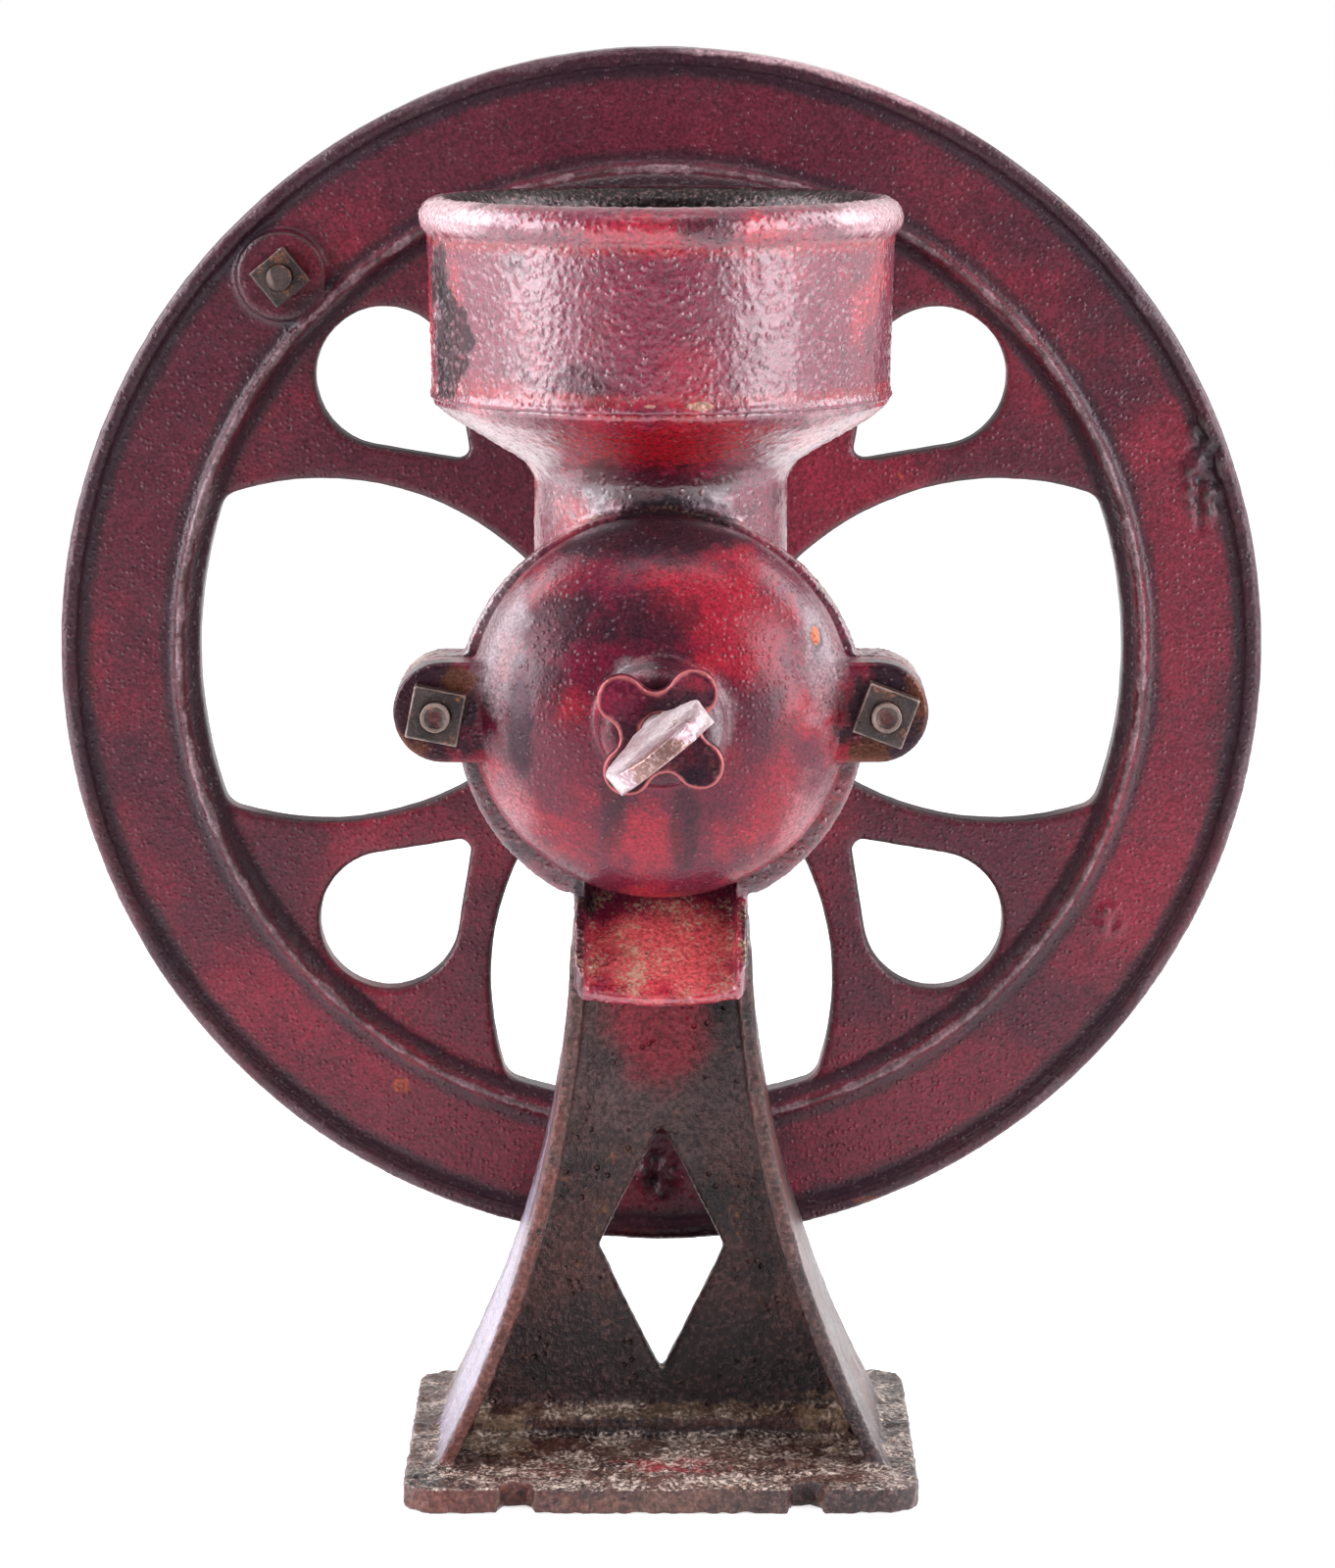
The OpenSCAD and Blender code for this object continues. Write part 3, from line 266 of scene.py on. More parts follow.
def patchMask(tree, place, patch):
    centre, reach = (Vector(patch[key]) * mm for key in ("at", "reach"))
    soft, ragged = patch.get("soft", 0.45), patch.get("ragged", 0.7)
    mask = placed(tree, paintPatch, vector=place, centre=centre, reach=reach, soft=soft,
                  ragged=ragged)["Mask"]
    if "facing" in patch:
        turned = vec(tree, "DOT_PRODUCT", surfaceNormal(tree), patch["facing"])
        mask = calc(tree, "MULTIPLY", mask, ramp(tree, turned, 0.3, 0.7))
    return calc(tree, "MULTIPLY", mask, patch["share"])


def facesInward(tree, place, axis):  # walls that look towards an upright centre line
    offset = vec(tree, "SUBTRACT", place, Vector(axis) * mm)
    outward = vec(tree, "NORMALIZE", vec(tree, "MULTIPLY", offset, (1.0, 1.0, 0.0)))
    return ramp(tree, vec(tree, "DOT_PRODUCT", outward, surfaceNormal(tree)), 0.15, -0.35)


def ringMask(tree, place, band):  # a band at one radius about a level centre line
    offset = vec(tree, "SUBTRACT", place, Vector(band["axis"]) * mm)
    radius = vec(tree, "LENGTH", vec(tree, "MULTIPLY", offset, (1.0, 0.0, 1.0)))
    away = calc(tree, "ABSOLUTE", calc(tree, "SUBTRACT", radius, band["radius"] * mm))
    broken = calc(tree, "SUBTRACT", cloud(tree, place, band["breakSize"], 4.0, 0.6), 0.5)
    away = calc(tree, "MULTIPLY_ADD", broken, band["ragged"] * mm, away)
    half = band["half"] * mm
    mask = calc(tree, "MULTIPLY", ramp(tree, away, half, half * band["core"]), band["share"])
    if "part" in band:
        mask = calc(tree, "MULTIPLY", mask, patchMask(tree, place, band["part"]))
    return mask


def sideWalls(tree, place, patch):  # walls that run along the depth, near one place
    depth = calc(tree, "ABSOLUTE", axes(tree, surfaceNormal(tree))["Y"])
    return calc(tree, "MULTIPLY", ramp(tree, depth, 0.85, 0.5), patchMask(tree, place, patch))


def speckled(tree, colour, grain, share):  # darker and lighter grains
    swing = 0.75 * share
    shade = ramp(tree, grain, 0.32, 0.68, 1 - swing, 1 + swing)
    tone = put(tree, "CombineXYZ", {0: shade, 1: shade, 2: shade}).outputs[0]
    return blend(tree, 1.0, colour, tone, "MULTIPLY")


def blot(tone, at, reach, share, **more):  # one patch of colour, placed in mm
    return dict(tone=tone, at=at, reach=reach, share=share, **more)


paintTones = dict(
    fresh=rgb(0.4, 0.01, 0.028),  # bright red enamel
    deep=rgb(0.15, 0.009, 0.033),  # aged maroon
    soot=rgb(0.022, 0.012, 0.018),  # smoky black stain, and painted shade in crevices, opening walls, shadow lines and under the funnel
    bare=rgb(0.3, 0.26, 0.27),  # paint rubbed to grey iron, and painted sheen on the cover's shoulders and boss
    chalk=rgb(0.62, 0.4, 0.42),  # pale pink painted highlight
    rust=rgb(0.4, 0.085, 0.022),  # orange chip
    dust=rgb(0.46, 0.33, 0.22),  # old coffee dust
)
paintRules = dict(
    breakSize=4.0, liningPlaces=(0.5, 0.72), pitSoot=0.6, dustSpeck=0.75, dustDepth=0.8, mottleRough=0.25,
    roughStart=-0.12, sootRough=0.06, wallRough=0.35, metalPlaces=(0.35, 0.95), sootCoat=0.3,
    coatRough=0.2,
    grainRelief=0.7, pitRelief=0.5)


def castPaint(name, look):
    material, tree, shader, place = startMaterial(name)
    rules, soot, tones = paintRules, paintTones["soot"], {**paintTones, **look}
    grain = placed(tree, castGrain, vector=place, grainSize=look["grain"])
    wearAndShade = placed(tree, edgeWear, vector=place, start=look["wearStart"], full=look["wearFull"],
                  breakSize=rules["breakSize"])
    streaked = put(tree, "Mapping", {"Vector": place, "Scale": look["streak"]}).outputs[0]
    redness = ramp(tree, cloud(tree, place, look["redSize"], 4.0, 0.6), *look["redShare"])
    colour = blend(tree, redness, tones["deep"], tones["fresh"])
    smoke = ramp(tree, cloud(tree, streaked, look["smokeSize"], 5.0, 0.62), *look["smokeShare"])
    dull = calc(tree, "MULTIPLY", smoke, look["smokeDepth"])
    colour = blend(tree, dull, colour, soot)
    for patch in look["patches"]:
        mask = patchMask(tree, place, patch)
        colour = blend(tree, mask, colour, tones[patch["tone"]])
        if patch["tone"] == "soot":
            dull = calc(tree, "MAXIMUM", dull, mask)
    for band in look.get("bands", ()):
        colour = blend(tree, ringMask(tree, place, band), colour, tones[band["tone"]])
    walls = 0.0
    # side walls of the openings painted black: painted shade
    if "walls" in look:
        walls = sideWalls(tree, place, look["walls"])
        colour = blend(tree, walls, colour, soot)
    # walls facing the centre line are painted near black with light flecks
    if "insideOf" in look:
        inside = facesInward(tree, place, look["insideOf"])
        flecks = ramp(tree, grain["Grain"], *rules["liningPlaces"])
        colour = blend(tree, inside, colour, blend(tree, flecks, look["lining"], look["liningFleck"]))
        dull = calc(tree, "MAXIMUM", dull, inside)
    grit = placed(tree, pimpleGrit, vector=place, spacing=look["gritSize"])
    colour = speckled(tree, colour, grain["Grain"], look["fleck"])
    # grain pits darkened: painted shade
    colour = stain(tree, colour, grain["Pits"], rules["pitSoot"], soot)
    # pimple tops lightened: painted glints
    colour = stain(tree, colour, grit["Top"], look["gritLight"], look["gritTone"])
    # crevices darkened: painted shade
    colour = stain(tree, colour, wearAndShade["Hollow"], look["hollow"], soot)
    colour = stain(tree, colour, wearAndShade["Edge"], look["edge"], look["edgeTone"])
    chips = placed(tree, rustBloom, vector=place, bloomSize=look["chipSize"], amount=look["chips"])
    colour = blend(tree, chips["Mask"], colour, paintTones["rust"])
    if "dustShare" in look:
        dust = placed(tree, settledDust, vector=place, amount=look["dustShare"],
                      speckSize=rules["dustSpeck"])
        colour = stain(tree, colour, dust["Mask"], rules["dustDepth"], paintTones["dust"])
    plug(tree, shader.inputs["Base Color"], colour)
    rough = calc(tree, "MULTIPLY_ADD", grain["Mottle"], rules["mottleRough"],
                 look["rough"] + rules["roughStart"])
    rough = calc(tree, "MULTIPLY_ADD", dull, rules["sootRough"], rough)
    rough = calc(tree, "MULTIPLY_ADD", walls, rules["wallRough"], rough)
    plug(tree, shader.inputs["Roughness"], rough)
    plug(tree, shader.inputs["Metallic"], ramp(tree, dull, *rules["metalPlaces"], 0.0, look["sootMetal"]))
    shader.inputs["Specular IOR Level"].default_value = look["gloss"]
    coat = ramp(tree, dull, 0.0, 1.0, look["coat"], look["coat"] * rules["sootCoat"])
    plug(tree, shader.inputs["Coat Weight"], coat)
    shader.inputs["Coat Roughness"].default_value = rules["coatRough"]
    height = calc(tree, "MULTIPLY_ADD", grain["Grain"], rules["grainRelief"], grit["Height"])
    height = calc(tree, "SUBTRACT", height, calc(tree, "MULTIPLY", grain["Pits"], rules["pitRelief"]))
    bumped(tree, shader, height, look["bump"])
    return material


ironRules = dict(
    breakSize=3.0, wearStart=0.525, wearFull=0.58, speckle=0.3, hollow=0.0, lightPlaces=(0.38, 0.62),
    fleckPlaces=(0.5, 0.7), dustSpeck=0.9, dustGrain=(0.42, 0.58, 0.15, 1.0), mottleRough=0.3,
    roughStart=-0.15,
    rustMetal=(0.6, 0.1), pitRelief=0.8)


def ironFinish(name, look):
    material, tree, shader, place = startMaterial(name)
    rules = {**ironRules, **look}
    grain = placed(tree, castGrain, vector=place, grainSize=look["grain"])
    wearAndShade = placed(tree, edgeWear, vector=place, start=rules["wearStart"], full=rules["wearFull"],
                  breakSize=rules["breakSize"])
    colour = blend(tree, ramp(tree, grain["Mottle"], *rules["lightPlaces"]), look["dark"], look["light"])
    rust = placed(tree, rustBloom, vector=place, bloomSize=look["rustSize"], amount=look["rust"])
    colour = blend(tree, rust["Mask"], colour, rust["Tint"])
    for patch in look.get("patches", ()):
        colour = blend(tree, patchMask(tree, place, patch), colour, look[patch["tone"]])
    for band in look.get("bands", ()):
        colour = blend(tree, ringMask(tree, place, band), colour, look[band["tone"]])
    flecks = ramp(tree, grain["Grain"], *rules["fleckPlaces"])
    colour = stain(tree, colour, flecks, look["fleck"], look["fleckTone"])
    colour = speckled(tree, colour, grain["Grain"], rules["speckle"])
    # crevices darkened: painted shade
    colour = stain(tree, colour, wearAndShade["Hollow"], rules["hollow"], look["dark"])
    colour = stain(tree, colour, wearAndShade["Edge"], look["edge"], look["edgeTone"])
    if "dustShare" in look:
        dust = placed(tree, settledDust, vector=place, amount=look["dustShare"],
                      speckSize=rules["dustSpeck"])
        grains = ramp(tree, grain["Grain"], *rules["dustGrain"])
        colour = stain(tree, colour, dust["Mask"], grains, look["dustTone"])
    plug(tree, shader.inputs["Base Color"], colour)
    rough = calc(tree, "MULTIPLY_ADD", grain["Mottle"], rules["mottleRough"],
                 look["rough"] + rules["roughStart"])
    plug(tree, shader.inputs["Roughness"], rough)
    metal = calc(tree, "MULTIPLY", ramp(tree, rust["Mask"], *rules["rustMetal"]), look["metal"])
    plug(tree, shader.inputs["Metallic"], metal)
    shader.inputs["Specular IOR Level"].default_value = look["gloss"]
    pits = calc(tree, "MULTIPLY", grain["Pits"], rules["pitRelief"])
    bumped(tree, shader, calc(tree, "SUBTRACT", grain["Grain"], pits), look["bump"])
    return material


# shapes

weldGap = 0.002 * mm
bevelSteps, sharpAngle = 3, math.radians(35)


def finishPiece(piece, name, material):
    piece.data.materials.clear()
    piece.data.materials.append(material)
    piece.data.shade_smooth()
    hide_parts(name)
    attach(piece, bodyOf[name])


def applyModifiers(piece):
    graph = bpy.context.evaluated_depsgraph_get()
    rough = piece.data
    done = bpy.data.meshes.new_from_object(piece.evaluated_get(graph))
    piece.modifiers.clear()
    piece.data = done
    bpy.data.meshes.remove(rough)


def readVectors(source, key):
    values = np.empty(len(source) * 3, np.float32)
    source.foreach_get(key, values)
    return values.reshape(-1, 3).astype(float)


def waves(points, size):  # smooth noise of that size in mm, from -1 to 1
    return np.array([noise.noise(Vector(point)) for point in points / (size * mm)])


def roughen(piece, name, shape):
    mesh = piece.data
    points = readVectors(mesh.vertices, "co")
    normals = readVectors(mesh.vertex_normals, "vector")
    lift = np.zeros(len(points))
    grainReach, scarRim, scarFade = 0.55, 1.3, 0.6
    for size, height in shape["lumps"]:
        lift += height * waves(points, size)
    if "pimples" in shape:  # separate raised grains, their spacing and height
        size, height = shape["pimples"]
        away = np.array([noise.voronoi(Vector(point))[0][0] for point in points / (size * mm)])
        rise = np.clip(1 - away / grainReach, 0, 1)
        lift += height * rise * rise * (3 - 2 * rise)
    for scar in shape.get("scars", ()):
        away = np.linalg.norm((points / mm - np.array(scar["at"])) / np.array(scar["reach"]), axis=1)
        near = away < scarRim
        if near.any():
            fade = np.clip((scarRim - away[near]) / scarFade, 0, 1)
            rugged = waves(points[near], scar["size"])
            lift[near] += fade * (scar["lift"] + scar["rugged"] * rugged)
    points += normals * (lift * mm)[:, None]
    low, high = (np.array(corner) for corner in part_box(name))
    spill = shape.get("spill", 0.0) * mm
    points = np.clip(points, low - spill, high + spill)
    mesh.vertices.foreach_set("co", points.astype(np.float32).ravel())
    mesh.update()


def melt(piece, spots):  # rounds a piece more strongly near some places
    work = bmesh.new()
    work.from_mesh(piece.data)
    settings = dict(factor=0.5, use_axis_x=True, use_axis_y=True, use_axis_z=True)
    for spot in spots:
        centre, reach = Vector(spot["at"]) * mm, spot["reach"] * mm
        near = [vert for vert in work.verts if (vert.co - centre).length < reach]
        for _ in range(spot["steps"]):
            bmesh.ops.smooth_vert(work, verts=near, **settings)
    work.to_mesh(piece.data)
    work.free()


def castPiece(name, shape, material, extra=None):  # the node's skin with soft edges and a rough surface
    mesh = nodes[name].data.copy()
    piece = bpy.data.objects.new(name + "Cast", mesh)
    bpy.context.scene.collection.objects.link(piece)
    work = bmesh.new()
    work.from_mesh(mesh)
    bmesh.ops.remove_doubles(work, verts=work.verts, dist=weldGap)
    if extra:
        extra(work)
    work.to_mesh(mesh)
    work.free()
    skin = piece.modifiers.new("skin", "REMESH")
    skin.mode = "VOXEL"
    skin.voxel_size = shape["voxel"] * mm
    soft = piece.modifiers.new("soften", "SMOOTH")
    soft.factor = 0.5
    soft.iterations = shape["soften"]
    applyModifiers(piece)
    melt(piece, shape.get("melted", ()))
    roughen(piece, name, shape)
    if "mostTriangles" in shape:
        thin = piece.modifiers.new("thin", "DECIMATE")
        thin.ratio = min(1.0, shape["mostTriangles"] / (2 * len(piece.data.polygons)))
        applyModifiers(piece)
    finishPiece(piece, name, material)
    print(name, "cast:", len(piece.data.polygons), "faces")


def dressNode(name, material, bevel=0.0):  # the node's own mesh with eased edges
    node = nodes[name]
    node.data.materials.clear()
    node.data.materials.append(material)
    if bevel:
        weld = node.modifiers.new("weld", "WELD")
        weld.merge_threshold = weldGap
        ease = node.modifiers.new("ease", "BEVEL")
        ease.width = bevel * mm
        ease.segments = bevelSteps
        ease.limit_method = "ANGLE"
        ease.angle_limit = sharpAngle
        ease.harden_normals = True
    print(name, "dressed")


# hopper

hopper = dict(
    seamRadius=48.6, seamHeight=237.1, seamThick=0.85, seamSteps=120, axis=(0, -18, 0),
    shape=dict(
        voxel=0.55, soften=5, lumps=[(4, 0.06), (14, 0.12)], pimples=(1.6, 0.24), spill=1.0,
        mostTriangles=190000,
        scars=[dict(at=(-45, -34, 249), reach=(7, 15, 12), size=1.6, lift=-0.25, rugged=0.75),
               dict(at=(-46, -26, 262), reach=(5, 9, 8), size=1.8, lift=-0.2, rugged=0.4)]),
    look=dict(
        grain=0.8, wearStart=0.53, wearFull=0.6, streak=(1, 1, 0.7), redSize=16, redShare=(0.5, 0.8),
        smokeSize=8, smokeShare=(0.48, 0.72), smokeDepth=0.5, fleck=0.6, gritSize=1.5, gritLight=0.15,
        gritTone=rgb(0.42, 0.12, 0.15), hollow=0.6, edge=0.3, edgeTone=rgb(0.36, 0.16, 0.17), chipSize=5,
        chips=0.05, rough=0.23, gloss=1.0, sootMetal=0.7, coat=0.5, bump=0.22,
        blood=rgb(0.28, 0.006, 0.014), insideOf=(0, -18, 0), lining=rgb(0.022, 0.014, 0.014),
        liningFleck=rgb(0.15, 0.085, 0.082),
        patches=[
            blot("deep", (-38, -46, 258), (14, 14, 20), 0.6),
            blot("fresh", (-34, -52, 240), (13, 12, 4), 0.4, soft=0.8),
            blot("deep", (-18, -64, 262), (16, 8, 12), 0.8),
            blot("soot", (-18, -66, 242), (13, 8, 5), 0.6, ragged=1.0),
            blot("deep", (-4, -67, 252), (11, 8, 18), 0.8),
            blot("fresh", (6, -66, 244), (8, 8, 9), 0.35, soft=0.9),
            blot("deep", (30, -58, 256), (18, 14, 18), 0.75),
            blot("blood", (0, -18, 270.2), (80, 80, 1.9), 0.75, soft=0.6, ragged=0.5),
            blot("blood", (0, -18, 239.2), (80, 80, 2.0), 0.7, soft=0.6, ragged=0.5),
            blot("fresh", (-43, -42, 252), (3, 6, 15), 0.6, ragged=0.9),
            blot("fresh", (-6, -70, 273.5), (15, 9, 4), 0.7, soft=0.8),
            blot("fresh", (22, -66, 274), (8, 9, 4), 0.8),
            blot("soot", (10, -70, 275), (8, 8, 4), 0.6),
            # bead ends: painted highlights
            blot("chalk", (-48, -40, 276), (18, 30, 5), 0.75),
            blot("chalk", (47, -40, 276), (14, 30, 5), 0.6),
            blot("soot", (-44, -38, 249), (7, 11, 12), 0.9, soft=0.25, ragged=1.5),
            blot("soot", (-46, -33, 263), (4, 8, 7), 0.75, soft=0.3, ragged=1.5),
            blot("fresh", (-48, -20, 254), (5, 7, 20), 0.7, ragged=0.5),
            blot("dust", (8.5, -66, 238.2), (2.6, 3, 0.7), 0.55, soft=0.3, ragged=1.2),
            blot("dust", (-2, -67, 238.2), (1.6, 3, 0.5), 0.45, soft=0.3, ragged=1.2)]))


def ring(work, axis, radius, height, thick, steps, sides=8):  # round bead about an upright centre line
    section = [math.radians(360 / sides * side) for side in range(sides)]
    turns = []
    for step in range(steps):
        turn = 2 * math.pi * step / steps
        outward = Vector((math.cos(turn), math.sin(turn), 0))
        centre = Vector(axis) + outward * radius + Vector((0, 0, height))
        spokes = [outward * math.cos(angle) + Vector((0, 0, math.sin(angle))) for angle in section]
        turns.append([work.verts.new((centre + spoke * thick) * mm) for spoke in spokes])
    for step in range(steps):
        here, there = turns[step], turns[(step + 1) % steps]
        for i in range(sides):
            j = (i + 1) % sides
            work.faces.new((here[i], there[i], there[j], here[j]))


def seamBead(work):  # paint-filled seam on the funnel
    keys = ("axis", "seamRadius", "seamHeight", "seamThick", "seamSteps")
    ring(work, *(hopper[key] for key in keys))


castPiece("hopper", hopper["shape"], castPaint("hopperPaint", hopper["look"]), seamBead)


# mill body with its funnel, joint flange and chute

millBody = dict(
    shape=dict(voxel=0.75, soften=4, lumps=[(6, 0.12), (15, 0.1)], pimples=(1.7, 0.21),
               mostTriangles=190000),
    look=dict(
        grain=0.8, wearStart=0.53, wearFull=0.6, streak=(1, 1, 0.7), redSize=16, redShare=(0.48, 0.74),
        smokeSize=9, smokeShare=(0.53, 0.72), smokeDepth=0.6, fleck=0.55, gritSize=1.5, gritLight=0.15,
        gritTone=rgb(0.42, 0.12, 0.15), hollow=0.7, edge=0.35, edgeTone=rgb(0.34, 0.18, 0.18),
        chipSize=5, chips=0.05, rough=0.23, gloss=1.0, sootMetal=0.7, coat=0.5, bump=0.2, dustShare=0.74,
        lively=rgb(0.52, 0.085, 0.085), blood=rgb(0.26, 0.004, 0.01), wine=rgb(0.035, 0.005, 0.01),
        bands=[
            dict(tone="soot", axis=(0, -46, 173.5), radius=43.4, half=4.0, core=0.6, share=0.8,
                 breakSize=5, ragged=3, part=dict(at=(0, -47, 166), reach=(70, 8, 42), share=1.0))],
        patches=[
            blot("blood", (2, -56, 230), (24, 16, 10), 0.95),
            # funnel sides: painted highlights
            blot("chalk", (-34, -40, 228), (13, 26, 12), 0.35),
            blot("chalk", (36, -40, 228), (13, 26, 12), 0.3),
            # dark neck top under the funnel: painted shadow
            blot("wine", (0, -46, 219), (22, 14, 6), 0.9, ragged=1.1),
            blot("soot", (2, -46, 214), (20, 14, 4), 0.85, ragged=1.1),
            blot("bare", (-23, -36, 217), (7, 12, 9), 0.35, ragged=1.1),
            blot("bare", (-36, -44, 196), (12, 6, 14), 0.4),
            blot("fresh", (34, -44, 150), (16, 8, 18), 0.8),
            # chute brightened: painted light
            blot("fresh", (0, -52, 120), (22, 16, 16), 0.8),
            blot("lively", (1, -50, 121), (18, 14, 12), 0.75, ragged=0.8),
            blot("soot", (-17, -40, 130), (4, 6, 4), 0.8),
            blot("soot", (-17.4, -52, 124), (1.7, 16, 14), 0.8, ragged=1.2),
            blot("soot", (18.4, -52, 124), (1.7, 16, 14), 0.85, ragged=1.2)]))

castPiece("mill_body", millBody["shape"], castPaint("bodyPaint", millBody["look"]))


# front cover

frontCover = dict(
    shape=dict(voxel=0.6, soften=4, lumps=[(2.6, 0.03), (9, 0.12)],
               melted=[dict(at=(0, -71, 173.5), reach=17, steps=16)]),
    look=dict(
        grain=0.7, wearStart=0.53, wearFull=0.6, streak=(1, 1, 0.45), redSize=15, redShare=(0.44, 0.66),
        smokeSize=11, smokeShare=(0.52, 0.74), smokeDepth=0.65, fleck=0.5, gritSize=1.2, gritLight=0.2,
        gritTone=rgb(0.34, 0.18, 0.19), hollow=0.7, edge=0.4, edgeTone=rgb(0.26, 0.17, 0.17), chipSize=5,
        chips=0.04, rough=0.2, gloss=0.3, sootMetal=0.3, coat=0.15, bump=0.13,
        fresh=rgb(0.28, 0.011, 0.025), deep=rgb(0.11, 0.008, 0.024), blush=rgb(0.48, 0.22, 0.24),
        ember=rgb(0.15, 0.05, 0.02),
        patches=[
            blot("fresh", (11, -66, 199), (10, 8, 8), 0.85),
            blot("fresh", (19, -66, 188), (8, 8, 9), 0.7),
            blot("fresh", (-3, -66, 148), (8, 8, 10), 0.9),
            blot("fresh", (-14, -68, 160), (7, 8, 7), 0.4),
            blot("fresh", (24, -66, 156), (7, 9, 13), 0.7),
            blot("soot", (-22, -65, 193), (13, 9, 9), 0.8),
            # dome shoulders: painted sheen
            blot("bare", (-34, -58, 192), (7, 12, 22), 0.55),
            blot("bare", (34, -58, 188), (6, 12, 20), 0.5),
            # lower dome sides: painted reflection
            blot("blush", (-31, -56, 153), (6, 12, 12), 0.45, soft=0.8),
            blot("blush", (30, -56, 150), (6, 12, 14), 0.45, soft=0.8),
            blot("soot", (-3, -56, 212), (29, 14, 8), 0.92),
            blot("soot", (-2, -67, 194), (11, 8, 8), 0.6),
            blot("soot", (0, -76, 176), (15, 9, 15), 0.9),
            # boss around the nut: painted sheen
            blot("bare", (12, -74, 174), (5, 9, 9), 0.6),
            blot("bare", (-5, -76, 185), (5, 9, 2.6), 0.4),
            blot("soot", (-29, -65, 173), (3.6, 8, 14), 0.85, ragged=0.4),
            blot("soot", (-23, -66, 179), (5, 8, 6), 0.6),
            blot("deep", (-15, -70, 168), (12, 9, 10), 0.8),
            blot("deep", (14, -70, 166), (11, 9, 14), 0.6),
            blot("soot", (-10, -68, 156), (3.6, 8, 11), 0.6),
            blot("soot", (5, -67, 151), (3.6, 8, 14), 0.65),
            blot("soot", (22, -68, 174), (6, 8, 9), 0.4),
            blot("soot", (-50, -56, 173.5), (14, 12, 14), 0.93, soft=0.25),
            blot("soot", (50, -56, 173.5), (14, 12, 14), 0.93, soft=0.25),
            blot("ember", (-42, -58, 180), (4, 5, 4), 0.6, ragged=1.2),
            blot("ember", (-54, -57, 165), (6, 5, 4), 0.6, ragged=1.2),
            blot("ember", (43, -58, 165), (4, 5, 5), 0.6, ragged=1.2),
            blot("ember", (54, -57, 177), (4, 5, 7), 0.6, ragged=1.2),
            blot("soot", (32.6, -59, 189.6), (1.7, 3, 3.0), 0.8, soft=0.3, ragged=1.0),
            blot("rust", (32.2, -59.2, 190), (1.0, 2.5, 2.2), 0.9, soft=0.2, ragged=0.8)]))

castPiece("front_cover", frontCover["shape"], castPaint("coverPaint", frontCover["look"]))


# lock nut

lockNut = dict(
    shape=dict(voxel=0.4, soften=13, lumps=[(2, 0.04), (6, 0.1)]),
    look=dict(
        grain=0.7, wearStart=0.503, wearFull=0.53, streak=(1, 1, 1), redSize=7, redShare=(0.45, 0.75),
        smokeSize=6, smokeShare=(0.34, 0.58), smokeDepth=0.92, fleck=0.5, gritSize=1.6, gritLight=0.2,
        gritTone=rgb(0.34, 0.14, 0.15), hollow=0.5, edge=0.85, edgeTone=rgb(0.42, 0.12, 0.12),
        chipSize=4, chips=0.08, rough=0.28, gloss=0.25, sootMetal=0.6, coat=0.0, bump=0.16,
        patches=[
            blot("deep", (-8, -92, 181), (9, 20, 9), 0.7),
            blot("soot", (4, -92, 170), (15, 20, 14), 0.8)]))

castPiece("lock_nut", lockNut["shape"], castPaint("lockNutPaint", lockNut["look"]))


# flywheel

wheelAxis = (0, 51, 173.5)


def wheelBand(tone, radius, **more):
    return dict(tone=tone, axis=wheelAxis, radius=radius, **more)


